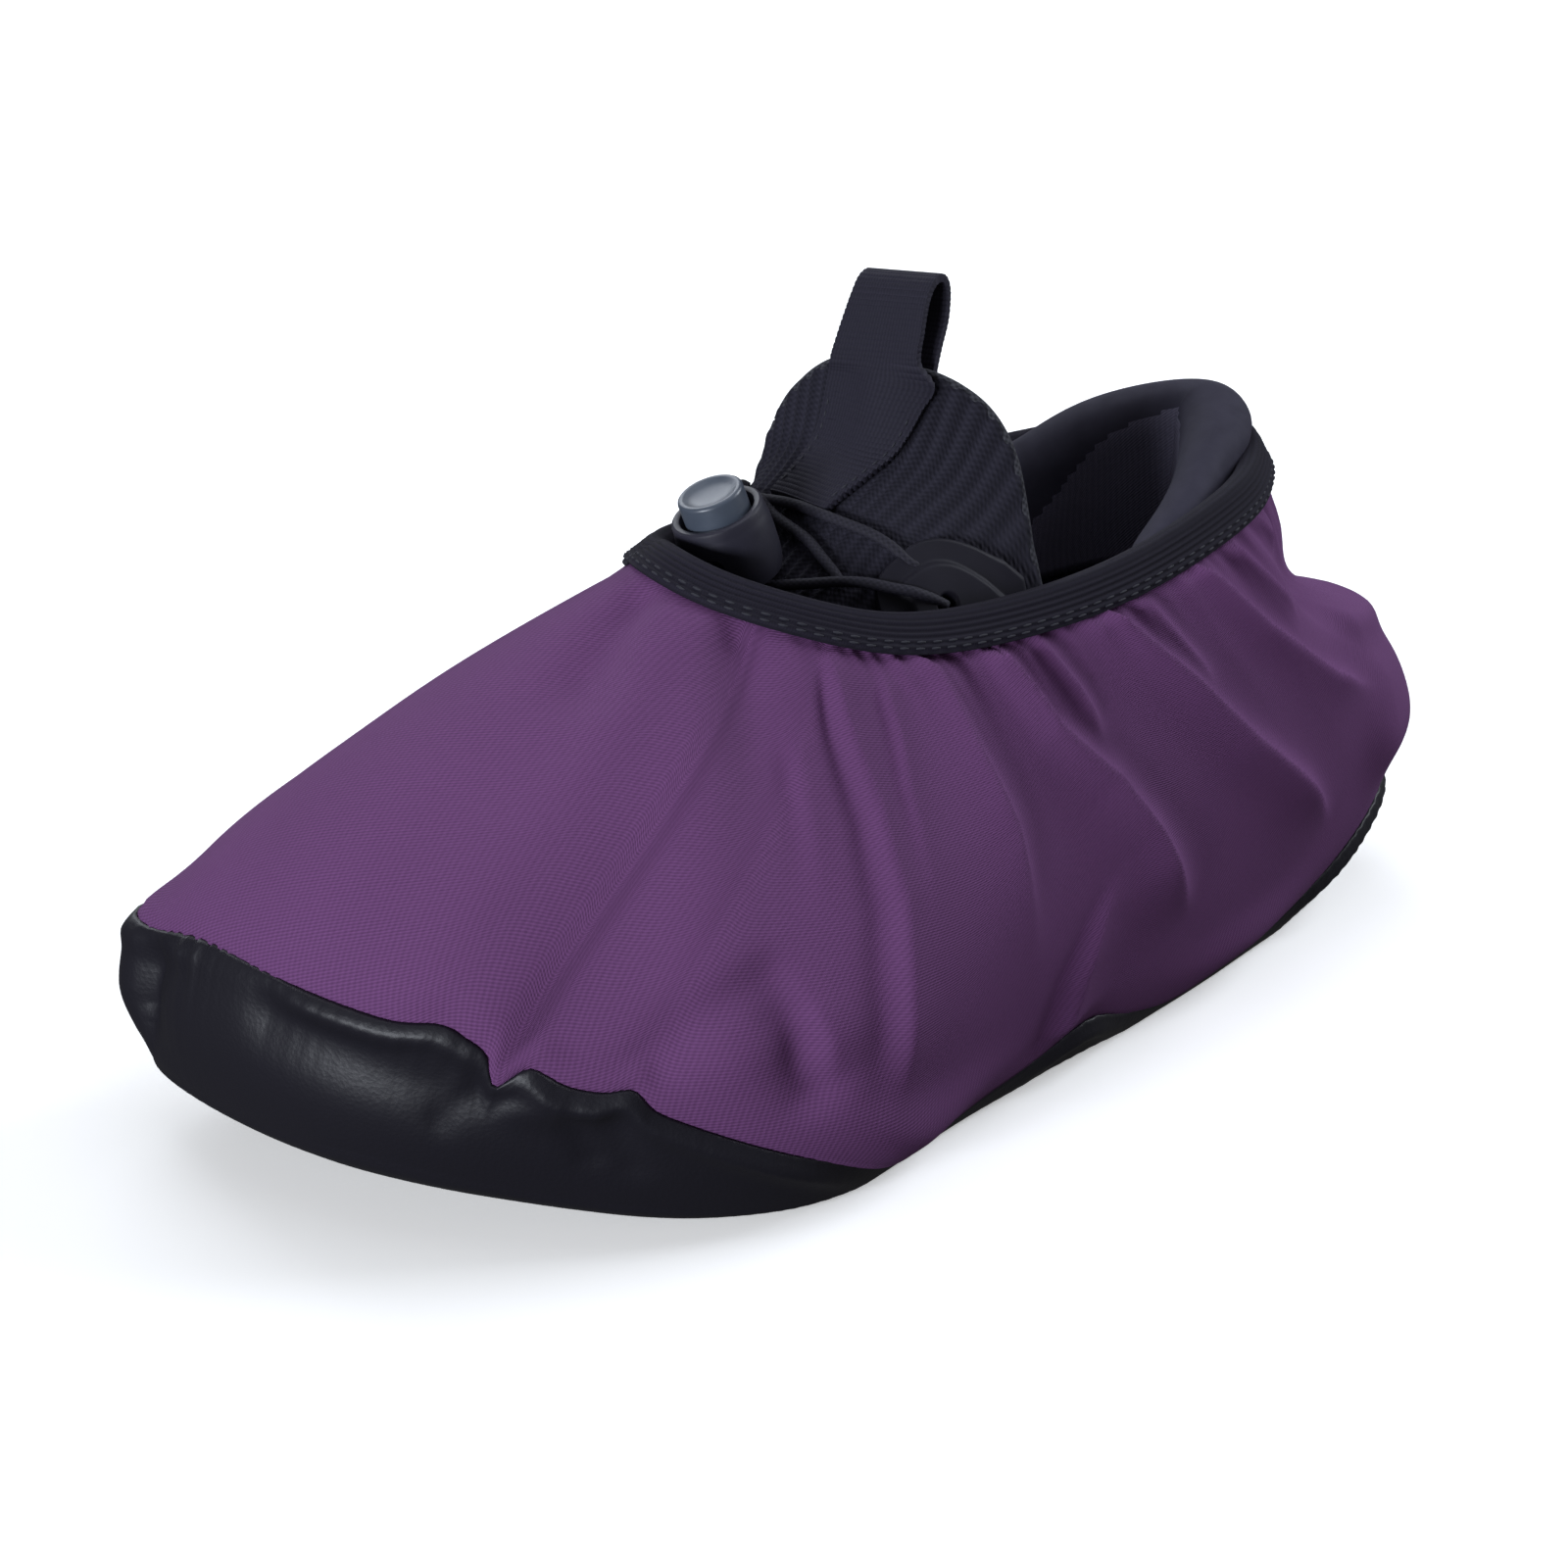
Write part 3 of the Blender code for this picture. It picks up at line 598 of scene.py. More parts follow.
@dataclass(frozen=True)
class Last:
    """The smooth form that the cover takes."""

    length: float = 273 * MM
    ball_width: float = 122 * MM
    instep_height: float = 104 * MM
    midline: float = -1.5 * MM
    side_out: float = 23 * MM
    side_out_toe: float = -4 * MM
    side_rise: float = 36 * MM
    side_rise_toe: float = 8 * MM
    side_rise_peak: float = 4 * MM
    brow_out: float = 14 * MM
    brow_out_toe: float = 32 * MM
    brow_drop: float = 30 * MM
    brow_drop_peak: float = 9 * MM
    peak_power: int = 30
    reach: float = 8 / 92
    climb: float = 0.01
    run_steps: int = 160

    def around(self, name: str, place: Array) -> Array:
        """Reads one column of the rows along a closed smooth curve.

        Args:
            name: The column.
            place: Row numbers.

        Returns:
            The column's values there.
        """
        values = np.array([getattr(row, name) for row in ROWS_AROUND])
        ring = np.eye(ROWS)
        after, before = np.roll(ring, 1, axis=1), np.roll(ring, -1, axis=1)
        slopes = np.linalg.solve(4 * ring + after + before, 3 * (after - before) @ values)
        whole = np.floor(place).astype(int)
        t = place - whole
        i, j = whole % ROWS, (whole + 1) % ROWS
        return hermite(t, (values[i], values[j]), (slopes[i], slopes[j]))

    def edge(self, kind: str, place: Array) -> Array:
        """Points of the sole's or the collar's edge."""
        x = self.midline + self.around(kind + "_across", place) * self.ball_width / 2
        y = (self.around(kind + "_along", place) - 0.5) * self.length
        if kind == "sole":
            z = self.around("sole_lift", place) * MM
        else:
            z = self.around("collar_rise", place) * self.instep_height
        return np.stack((x, y, z), -1)

    def outward(self, kind: str, place: Array) -> Array:
        """Level directions out of the sole's or the collar's edge."""
        along = self.edge(kind, place + self.reach) - self.edge(kind, place - self.reach)
        return unit(np.stack((along[..., 1], -along[..., 0], 0 * along[..., 2]), -1))

    def point(self, place: Array, share: Array) -> Array:
        """Points of the form at row numbers and shares of the side."""
        place, share = np.broadcast_arrays(np.asarray(place, float), np.asarray(share, float))
        toe = ((1 + np.cos(place * 2 * math.pi / ROWS)) / 2)[..., None]
        low, top = self.edge("sole", place), self.edge("collar", place)
        side = low + self.outward("sole", place) * (self.side_out + self.side_out_toe * toe**0.35)
        rise = self.side_rise + self.side_rise_toe * toe + self.side_rise_peak * toe**self.peak_power
        side = side + UP * rise
        brow = top + self.outward("collar", place) * (self.brow_out + self.brow_out_toe * toe**3)
        brow = brow - UP * (self.brow_drop - self.brow_drop_peak * toe**self.peak_power)
        t = share[..., None]
        return (1 - t) ** 3 * low + 3 * (1 - t) ** 2 * t * side + 3 * (1 - t) * t * t * brow + t**3 * top

    def normal(self, place: Array, share: Array) -> Array:
        """Directions out of the form."""
        turn = self.point(place + self.reach, share) - self.point(place - self.reach, share)
        climb = self.point(place, share + self.climb) - self.point(place, share - self.climb)
        return unit(np.cross(turn, climb))

    def side_length(self, place: Array) -> Array:
        """Length of side for a whole share, at the collar."""
        step = self.point(place, 1.0) - self.point(place, 1 - self.climb)
        return np.linalg.norm(step, axis=-1) / self.climb

    def edge_run(self, kind: str) -> tuple[Array, Array]:
        """Row numbers once around from the heel, and the distance along an edge to each."""
        rows = np.linspace(-HEEL_ROW, HEEL_ROW, 2 * self.run_steps + 1)
        return rows, run_length(self.edge(kind, rows), 0)

    def heel_run(self, place: Array) -> Array:
        """Distance along the collar from the heel row."""
        rows, run = self.edge_run("collar")
        return np.where(place > 0, run[-1] - np.interp(place, rows, run), np.interp(place, rows, run))

    def sole_run(self, place: Array) -> Array:
        """Distance along the sole's edge from the toe row, signed."""
        rows, run = self.edge_run("sole")
        return np.interp(place, rows, run - run[self.run_steps])

    def swell(self, place: Array, share: Array) -> Array:
        """Bulges that knit and leather share."""
        return sum(crease.rise(place, share) for crease in SHARED_CREASES)

    def seam(self, place: Array) -> Array:
        """Share of the side where the leather ends, with its dips and puckers."""
        return self.around("seam", place) + sum(dip.height(place) for dip in SEAM_DIPS)


@dataclass(frozen=True)
class Dip:
    """A place where the seam line leaves its even curve, in rows and shares."""

    row: float
    half_width: float
    lift: float

    def height(self, place: Array) -> Array:
        """How far the seam is lifted there."""
        return self.lift * bell((place - self.row) / self.half_width)


SEAM_DIPS = (
    Dip(1.20, 0.16, 0.020),
    Dip(1.55, 0.07, -0.055),
    Dip(2.14, 0.08, 0.022),
    Dip(1.86, 0.14, -0.012),
    Dip(3.62, 0.46, -0.042),
    Dip(4.68, 0.20, 0.045),
    Dip(5.30, 0.26, -0.022),
    Dip(-0.85, 0.42, -0.042),
    Dip(-1.75, 0.12, -0.026),
)
LAST = Last()


class Crest(Enum):
    """How sharp the top of a fold is."""

    ROUND = 2.0
    CRISP = 1.25


@dataclass(frozen=True)
class Crease:
    """A ridge, or a trough if its height is negative, along a line of rows and shares from top to bottom.

    Sizes are in mm. The side towards the heel may be gentler than the side towards the toe, where a valley,
    a share of the ridge's height deep, may run along it.
    """

    name: str
    line: Stops
    half_width: float
    height: float
    steep: float = 0.0
    start: float = 1.0
    fade: float = 0.0
    crest: Crest = Crest.ROUND
    inner: bool = False
    valley: float = 0.0
    swell_in: float = 0.0
    row_pitch: float = 38.0
    side_pitch: float = 110.0

    def rise(self, place: Array, share: Array) -> Array:
        """How far the fold stands out of the form."""
        if self.inner:
            place = -place
        near = np.full(np.broadcast(place, share).shape, np.inf)
        side, along = np.zeros_like(near), np.zeros_like(near)
        for step, ((row, high), (to_row, low)) in enumerate(zip(self.line, self.line[1:])):
            turn = (np.mod(place - row + HEEL_ROW, ROWS) - HEEL_ROW) * self.row_pitch
            climb = (share - high) * self.side_pitch
            run = ((to_row - row) * self.row_pitch, (low - high) * self.side_pitch)
            t = np.clip((turn * run[0] + climb * run[1]) / (run[0] ** 2 + run[1] ** 2), 0, 1)
            off = np.hypot(turn - t * run[0], climb - t * run[1])
            nearer = off < near
            near = np.where(nearer, off, near)
            side = np.where(nearer, run[0] * climb - run[1] * turn, side)
            along = np.where(nearer, (step + t) / (len(self.line) - 1), along)
        steep = (self.steep or self.half_width) * (self.start + (1 - self.start) * along)
        gentle = self.half_width * (self.start + (1 - self.start) * along)
        fold = np.exp(-((near / np.where(side > 0, gentle, steep)) ** self.crest.value))
        fold = fold - self.valley * bell(np.where(side > 0, near, -near) / (1.5 * steep) + 1.45)
        fade = ease((1 - along) / self.fade) if self.fade else 1.0
        swell_in = ease(along / self.swell_in) if self.swell_in else 1.0
        return fold * self.height * MM * fade * swell_in


def drape(
    name: str, line: Stops, height: float, reach: float = 9.0, fade: float = 0.35, swell_in: float = 0.0,
) -> Crease:
    """A hanging fold: a valley and a steep side towards the toe, and a long gentle side towards the heel."""
    steep = max(LEAST_STEEP, 0.36 * reach)
    return Crease(name, line, reach, height, steep, 0.6, fade, Crest.CRISP, valley=0.35, swell_in=swell_in)


def overhang(name: str, line: Stops, height: float, reach: float = 10.0, fade: float = 0.4) -> Crease:
    """A slack fold: a long gentle side towards the toe, and a short steep one towards the heel."""
    return Crease(name, line, max(LEAST_STEEP, 0.32 * reach), height, reach, 0.55, fade, Crest.CRISP)


SHARED_CREASES = (
    Crease("corner_bulge", ((-0.98, 0.21), (-0.96, 0.12)), 8, 2.8),
    Crease("vamp_flat", ((-1.0, 0.58), (-1.0, 0.36)), 13, -2.3),
)
SIDE_CREASES = (
    Crease("vamp_trough", ((0.39, 0.91), (0.52, 0.85), (0.61, 0.79), (0.63, 0.72)), 7, -2.2, fade=0.5),
    Crease("vamp_ridge", ((0.76, 0.90), (0.94, 0.82), (1.06, 0.74), (1.09, 0.62)), 7, 1.8, fade=0.5),
    Crease("shoulder_ridge", ((1.10, 0.90), (1.62, 0.71), (1.92, 0.57), (2.11, 0.48), (2.51, 0.32)), 9, 2.2),
    Crease("shoulder_trough", ((1.43, 0.93), (1.71, 0.84), (1.93, 0.76), (2.25, 0.64)), 7, -2.4, fade=0.5),
    Crease("toe_ridge", ((1.12, 0.71), (1.02, 0.57), (1.03, 0.44), (1.04, 0.30)), 11, 1.4),
    Crease("toe_fold", ((1.30, 0.50), (1.38, 0.38), (1.45, 0.25)), 6, 1.6, 9, swell_in=0.8),
    Crease(
        "toe_trough",
        ((1.60, 0.74), (1.62, 0.60), (1.64, 0.41), (1.68, 0.26)),
        15, -2.0, 11, swell_in=0.5,
    ),
    drape("shoulder_fold", ((1.97, 0.83), (2.17, 0.76), (2.42, 0.64), (2.66, 0.51)), 1.2, 5, 0.5, 0.3),
    Crease("pucker_trough", ((2.42, 0.42), (2.22, 0.34), (2.14, 0.25)), 5, -1.2),
    Crease("ball_hollow", ((2.30, 0.46), (2.51, 0.39), (2.69, 0.32), (2.86, 0.23)), 4.5, -2.4, swell_in=0.5),
    drape("ball_crease", ((2.34, 0.52), (2.70, 0.39), (2.84, 0.32), (2.98, 0.22)), 2.1, 6, swell_in=0.6),
    drape(
        "ball_fold",
        ((2.18, 0.96), (2.40, 0.83), (2.73, 0.69), (2.98, 0.54), (3.18, 0.34), (3.40, 0.14)),
        2.7, 6, 0.2, 0.15,
    ),
    drape(
        "ball_fold_small",
        ((2.66, 0.92), (2.80, 0.83), (2.90, 0.73), (3.10, 0.59), (3.47, 0.29)),
        1.3, 5, 0.6, 0.15,
    ),
    overhang(
        "waist_fold",
        ((3.02, 0.95), (3.16, 0.91), (3.39, 0.76), (3.68, 0.61), (3.97, 0.42), (4.25, 0.23)),
        3.6, 8, 0.5,
    ),
    overhang(
        "side_fold",
        ((3.72, 0.91), (4.03, 0.76), (4.48, 0.62), (4.76, 0.48), (4.95, 0.35), (5.17, 0.21)),
        5.0, 9, 0.3,
    ),
    overhang("side_fold_small", ((4.07, 0.92), (4.32, 0.80), (4.50, 0.68)), 2.2, 5),
    drape("arch_fold", ((4.58, 0.44), (4.50, 0.33), (4.47, 0.22), (4.50, 0.04)), 2.4, 5.5, 0.15, 0.6),
    overhang(
        "heel_fold",
        ((4.67, 0.93), (5.09, 0.75), (5.50, 0.56), (5.98, 0.38), (6.37, 0.22)),
        5.2, 9, 0.3,
    ),
    overhang("heel_fold_small", ((4.98, 0.94), (5.20, 0.80), (5.42, 0.67)), 2.2, 5),
    overhang("ankle_fold", ((5.51, 0.92), (5.87, 0.75), (6.41, 0.57), (6.92, 0.45)), 4.6, 9, 0.3),
    overhang("ankle_fold_small", ((5.99, 0.90), (6.26, 0.79), (6.48, 0.69)), 2.2, 5),
    drape("ankle_fold_back", ((6.42, 0.96), (6.78, 0.82)), 1.6, 6),
)
INNER_CREASES = tuple(replace(crease, inner=True) for crease in SIDE_CREASES if crease.line[0][0] > 2.9)
HEEL_CREASES = (
    Crease("ankle_hollow", ((6.95, 0.75), (7.60, 0.70), (8.30, 0.65), (9.05, 0.67)), 11, -6.8),
    Crease("ankle_slack", ((7.05, 0.86), (8.95, 0.82)), 8, -1.0),
    Crease("heel_sag", ((7.00, 0.32), (8.20, 0.28)), 9, 3.2),
    Crease("heel_pouch", ((7.05, 0.45), (8.00, 0.40), (8.95, 0.40)), 13, 4.0),
    Crease("heel_ledge", ((7.10, 0.60), (7.60, 0.54), (8.20, 0.49), (8.90, 0.50)), 5, 2.6),
)
LEATHER_CREASES = (
    Crease("corner_hollow", ((-0.66, 0.26), (-0.72, 0.10)), 6.0, -4.6, 4.0, crest=Crest.CRISP),
    Crease("toe_hollow", ((0.28, 0.19), (0.98, 0.165), (1.25, 0.16)), 6, -2.0),
    Crease("edge_dimple", ((1.54, 0.205), (1.57, 0.165)), 3.4, -3.2, crest=Crest.CRISP),
    Crease("dimple_ridge", ((1.66, 0.155), (2.02, 0.175)), 3.5, 1.3),
    Crease("dimple_wrinkle", ((1.48, 0.17), (1.34, 0.10)), 3.0, -0.9),
    Crease("ball_wrinkle", ((1.92, 0.18), (2.06, 0.09)), 3.0, -1.0),
    Crease("ball_wrinkle_two", ((2.08, 0.18), (2.22, 0.08)), 3.0, -0.9),
    Crease("inner_wrinkle", ((-1.72, 0.19), (-1.60, 0.08)), 4.0, -1.6),
    Crease("inner_wrinkle_two", ((-1.10, 0.24), (-1.16, 0.10)), 4.0, -1.2),
)


@dataclass
class Upper:
    """Knit upper: one sheet from its seam with the leather to the collar, drawn into gathers there."""

    columns: int = 620
    rows: int = 76
    wall: float = UPPER_WALL
    dense: tuple[float, float, float] = (1.0, 7.6, 1.8)
    dense_ramp: float = 0.8
    spread_steps: int = 640
    band: float = 6 * MM
    band_margin: float = 0.01
    band_hold: float = 0.05
    under_band: float = 2.5 * MM
    gather_sizes: tuple[tuple[float, float, float], ...] = (
        (4.4 * MM, 1.1 * MM, 6.5 * MM),
        (9.2 * MM, 0.8 * MM, 12 * MM),
    )
    gather_lean: float = 0.42
    gather_power: float = 0.9
    gather_from: float = 1.2
    gather_ramp: float = 2.4
    seam_hold: float = 7 * MM
    hem: float = 3.6 * MM
    hem_places: Stops = ((3.55, 1.0), (5.7, 0.7))
    hem_half: float = 0.5
    hem_rise: float = 7 * MM
    hem_reach: float = 6 * MM
    tuck: float = 0.6 * MM
    tuck_depth: float = 0.7 * MM

    def band_start(self, place: Array) -> Array:
        """Share of the side where the binding starts."""
        return 1 - self.band / LAST.side_length(place)

    def gathers(self, place: Array, share: Array) -> Array:
        """Depth of the puckers below the binding, coarse ones between finer ones."""
        below = (self.band_start(place) - share) * LAST.side_length(place)
        free = 1 - ease(-below / self.under_band)
        below = np.maximum(below, 0)
        run = LAST.heel_run(place) + self.gather_lean * below
        sides = ease((np.abs(place) - self.gather_from) / self.gather_ramp)
        total = np.zeros_like(below)
        for pitch, depth, reach in self.gather_sizes:
            phase = run / pitch + 0.35 * np.sin(run / (2.6 * pitch)) + 0.2 * np.sin(run / (1.1 * pitch) + 1)
            valley = -(np.abs(np.sin(phase * math.pi)) ** self.gather_power)
            length = reach * (1 + 0.5 * np.sin(run / (3.4 * pitch)))
            total = total + depth * valley * np.exp(-below / length)
        return total * sides * free

    def height(self, place: Array, share: Array) -> Array:
        """How far the cloth stands out of the form."""
        above = (share - LAST.seam(place)) * SIDE_RUN
        folds = sum(crease.rise(place, share) for crease in SIDE_CREASES + INNER_CREASES + HEEL_CREASES)
        hold = ease((self.band_start(place) + self.band_margin - share) / self.band_hold)
        hold = ease(above / self.seam_hold) * hold
        groove = -self.tuck_depth * bell(above / self.tuck)
        hem = self.hem * sum(part * bell((place - row) / self.hem_half) for row, part in self.hem_places)
        hem = hem * bell((above - self.hem_rise) / self.hem_reach)
        return LAST.swell(place, share) + folds * hold + self.gathers(place, share) + groove + hem

    def spread(self, u: Array) -> Array:
        """Row numbers of the columns, closer together where the folds hang."""
        low, high, pace = self.dense
        rows = np.linspace(-HEEL_ROW, HEEL_ROW, self.spread_steps + 1)
        weight = ease((rows - low) / self.dense_ramp + 0.5) * ease((high - rows) / self.dense_ramp + 0.5)
        weight = 1 + (pace - 1) * weight
        run = np.concatenate(((0,), np.cumsum((weight[1:] + weight[:-1]) / 2)))
        return np.interp(u, run / run[-1], rows)

    def surface(self, u: Array, v: Array) -> Mapped:
        """Points and cloth lengths of the upper, for the grid."""
        place = self.spread(u)
        start = LAST.seam(place) - 2 * WALL_GAP / SIDE_RUN
        share = start + (1 - start) * v
        plain = LAST.point(place, share)
        points = plain + LAST.normal(place, share) * self.height(place, share)[..., None]
        around = run_length(plain, 1)
        around = around - around[:, [np.argmin(np.abs(place[0]))]]
        return points, np.stack((around, run_length(plain, 0)), -1)

    def build(self) -> None:
        """Makes the upper."""
        bm = patch(self.columns, self.rows, self.surface)
        obj = add_piece(
            "knit_upper", bm, (KNIT_PURPLE, LINING_PAINTED_FILL), replaces=("upper",), turn_out=False,
        )
        # The inner face takes the lighter backing, painted light on the shaded inside.
        thicken(obj, self.wall, lining=1)


@dataclass
class SoleCup:
    """Leather-look sole cup: floor, rounded edge, and sides that end in a rolled seam."""

    columns: int = 460
    side_rows: int = 44
    edge_rows: int = 8
    floor_rows: int = 6
    wall: float = 1.7 * MM
    edge_round: float = 5 * MM
    toe_round: float = 10 * MM
    spring_start: float = 0.22
    spring_rise: float = 13.5 * MM
    arch_rise: float = 2 * MM
    arch_from: float = 0.40
    arch_to: float = 0.68
    edge_full: float = 0.55
    sprung_from: float = 3 * MM
    sprung_over: float = 8 * MM
    sprung_row: float = 0.9
    roll: float = 1.9 * MM
    roll_least: float = 0.2
    roll_below: float = 3.4 * MM
    roll_width: float = 2.3 * MM
    roll_waves: tuple[float, float] = (9 * MM, 23 * MM)
    roll_room: float = 0.12
    groove: float = 0.5 * MM
    groove_room: float = 0.03
    gather: float = 0.6 * MM
    gather_run: float = 0.50 * MM
    gather_drift: float = 4 * MM
    gather_reach: float = 9 * MM
    gather_row: float = -0.38
    gather_half: float = 0.30
    seam_hold: float = 4.5 * MM
    edge_hold: float = 0.05

    def floor_height(self, along: Array) -> Array:
        """Underside of the sole: level under ball and heel, sprung at the toe, raised at the arch."""
        spring = np.clip((self.spring_start - along) / self.spring_start, 0, 1) ** 2 * self.spring_rise
        middle = np.clip((along - self.arch_from) / (self.arch_to - self.arch_from), 0, 1)
        return spring + self.arch_rise * np.sin(middle * math.pi) ** 2

    def height(self, place: Array, share: Array) -> Array:
        """How far the leather stands out of the form: its rolled seam, gathers and creases."""
        seam = LAST.seam(place)
        below = (seam - share) * SIDE_RUN
        run = LAST.sole_run(place)
        room = ease(seam / self.roll_room)
        roll = self.roll * (self.roll_least + (1 - self.roll_least) * ease((np.abs(place) - 0.15) / 0.35))
        roll = roll * (0.85 + 0.3 * np.sin(run / self.roll_waves[0]) * np.sin(run / self.roll_waves[1]))
        roll = roll * room * bell((below - self.roll_below) / self.roll_width)
        groove = -self.groove * bell(below / self.groove) * ease(seam / self.groove_room)
        front = bell((place - self.gather_row) / self.gather_half) + 0.3
        gathers = self.gather * np.sin(run / self.gather_run + 1.4 * np.sin(run / self.gather_drift))
        gathers = gathers * front * room * np.exp(-below / self.gather_reach)
        folds = sum(crease.rise(place, share) for crease in LEATHER_CREASES) * ease(below / self.seam_hold)
        return roll + groove + gathers + (folds + LAST.swell(place, share)) * ease(share / self.edge_hold)

    def floor_edge(self, place: Array) -> Array:
        """Points where the rounded edge meets the floor."""
        edge = LAST.edge("sole", place)
        sprung = ease((edge[..., 2:] - self.sprung_from) / self.sprung_over)
        sprung = sprung * ease((place[..., None] + self.sprung_row) / self.sprung_row)
        inset = edge - LAST.outward("sole", place) * (self.edge_round + self.toe_round * sprung)
        inset[..., 2] = self.floor_height(inset[..., 1] / LAST.length + 0.5)
        return inset

    def surface(self, u: Array, v: Array) -> Mapped:
        """Points and lengths of the cup, from its seam over the edge to the floor's middle, for the grid."""
        place = (2 * u - 1) * HEEL_ROW
        step = v * (self.side_rows + self.edge_rows + self.floor_rows)
        share = np.clip(1 - step / self.side_rows, 0, 1) * (LAST.seam(place) - WALL_GAP / SIDE_RUN)
        side = LAST.point(place, share) + LAST.normal(place, share) * self.height(place, share)[..., None]
        inset = self.floor_edge(place)
        corner = np.concatenate((side[..., :2], inset[..., 2:]), -1)
        t = np.clip((step - self.side_rows) / self.edge_rows, 0, 1)[..., None]
        bend = self.edge_full * corner + (1 - self.edge_full) * side
        points = (1 - t) ** 2 * side + 2 * (1 - t) * t * bend + t * t * inset
        t = np.clip((step - self.side_rows - self.edge_rows) / self.floor_rows, 0, 1)[..., None]
        floor = (1 - t / 2) * inset + t / 2 * self.floor_edge(-place)
        floor[..., 2] = self.floor_height(floor[..., 1] / LAST.length + 0.5)
        points = np.where(t > 0, floor, points)
        return points, lengths(points)

    def build(self) -> None:
        """Makes the sole cup."""
        bm = patch(self.columns, self.side_rows + self.edge_rows + self.floor_rows, self.surface)
        obj = add_piece("leather_sole_cup", bm, (LEATHER,), replaces=("outsole",))
        thicken(obj, self.wall, even=False)


@dataclass
class Stitching:
    """A dashed row of thread on a surface."""

    length: float = 2.2 * MM
    pitch: float = 3.4 * MM
    radius: float = 0.24 * MM
    facets: tuple[int, int] = (6, 5)

    def sew(self, bm: BMesh, path: Array, out: Array) -> None:
        """Adds the stitches of one row.

        Args:
            bm: Where the stitches go.
            path: Points along the row.
            out: Directions out of the surface at those points.
        """
        run = run_length(path, 0)
        for start in np.arange(self.pitch, run[-1] - self.pitch, self.pitch):
            stops = (start, start + self.length)
            ends = [np.array([np.interp(stop, run, path[:, k]) for k in range(3)]) for stop in stops]
            face = np.array([np.interp(start, run, out[:, k]) for k in range(3)])
            along = unit(ends[1] - ends[0])
            side = unit(np.cross(face, along))
            frame = Matrix(np.stack((along, side, np.cross(along, side)), 1).tolist()).to_4x4()
            size = Matrix.Diagonal((self.length / 2, self.radius, self.radius, 1))
            place = Matrix.Translation(Vector((ends[0] + ends[1]) / 2))
            matrix = place @ frame @ size
            across, up = self.facets
            bmesh.ops.create_uvsphere(bm, u_segments=across, v_segments=up, radius=1, matrix=matrix)


@dataclass
class Binding:
    """Ribbed elastic folded over the collar's edge, sewn down with two rows of stitches."""

    columns: int = 420
    outside: float = 7.2 * MM
    inside: float = 6 * MM
    out: float = 1.5 * MM
    deep: float = 3.0 * MM
    wall: float = 0.9 * MM
    crown: float = 1.5 * MM
    rib: float = 1.2 * MM
    rib_height: float = 0.16 * MM
    outer_rows: int = 42
    crown_rows: int = 12
    inner_rows: int = 10
    lip: float = 0.4 * MM
    lip_share: float = 0.98
    fold: float = 0.6 * MM
    edge_round: float = 0.5 * MM
    edge_drop: float = 0.7 * MM
    rows_sewn: tuple[float, float] = (5.0 * MM, 6.3 * MM)
    sewn_steps: int = 900
    sewn_lift: float = 0.05 * MM

    def at(self, place: Array, down: Array, out: Array) -> Array:
        """Points by distance down from the collar's edge, up if negative, and distance out of the form."""
        share = 1 - np.maximum(down, 0) / LAST.side_length(place)
        lip = unit(LAST.point(place, 1.0) - LAST.point(place, self.lip_share))
        raised = LAST.point(place, share) + LAST.normal(place, share) * out[..., None]
        return raised + lip * np.maximum(-down, 0)[..., None]

    def profile(self) -> Array:
        """The closed section, as distances down and out."""
        down = np.linspace(self.outside, self.lip, self.outer_rows)
        edge = bell((down - self.outside) / self.edge_round)
        out = self.out + self.rib_height * np.cos(down / self.rib * 2 * math.pi) - self.edge_drop * edge
        outer = np.stack((down, out), -1)
        turn = np.linspace(0, math.pi, self.crown_rows)[1:-1]
        middle, half = (self.out - self.deep) / 2, (self.out + self.deep) / 2
        over = np.stack((-self.crown * np.sin(turn), middle + half * np.cos(turn)), -1)
        rows = np.linspace(self.lip, self.inside, self.inner_rows)
        inner = np.stack((rows, np.full(self.inner_rows, -self.deep)), -1)
        deep, out = self.wall - self.deep, self.out - self.wall
        back = np.array(((self.inside, deep), (self.fold, deep), (self.fold, out), (self.outside, out)))
        section = np.concatenate((outer, over, inner, back))
        return np.concatenate((section, section[:1]))

    def surface(self, u: Array, v: Array) -> Mapped:
        """Points and cloth lengths of the binding, for the grid."""
        section = self.profile()
        step = np.rint(v * (len(section) - 1)).astype(int)
        place = (2 * u - 1) * HEEL_ROW
        points = self.at(place, section[step, 0], section[step, 1])
        return points, lengths(points)

    def build(self) -> None:
        """Makes the binding and its stitches."""
        bm = patch(self.columns, len(self.profile()) - 1, self.surface)
        add_piece("elastic_binding", bm, (ELASTIC,), replaces=("collar_binding",))
        place = np.linspace(-HEEL_ROW, HEEL_ROW, self.sewn_steps)
        stitches = bmesh.new()
        for down in self.rows_sewn:
            path = self.at(place, down + 0 * place, self.out + self.sewn_lift + 0 * place)
            Stitching().sew(stitches, path, LAST.normal(place, self.lip_share + 0 * place))
        add_piece("binding_stitches", stitches, (THREAD,))


# Tongue and what sits on it


@dataclass(frozen=True)
class Section:
    """One section of the tongue: shares of length and instep height, half width and sweep in mm."""

    along: float
    crown: float
    half_width: float
    sweep: float


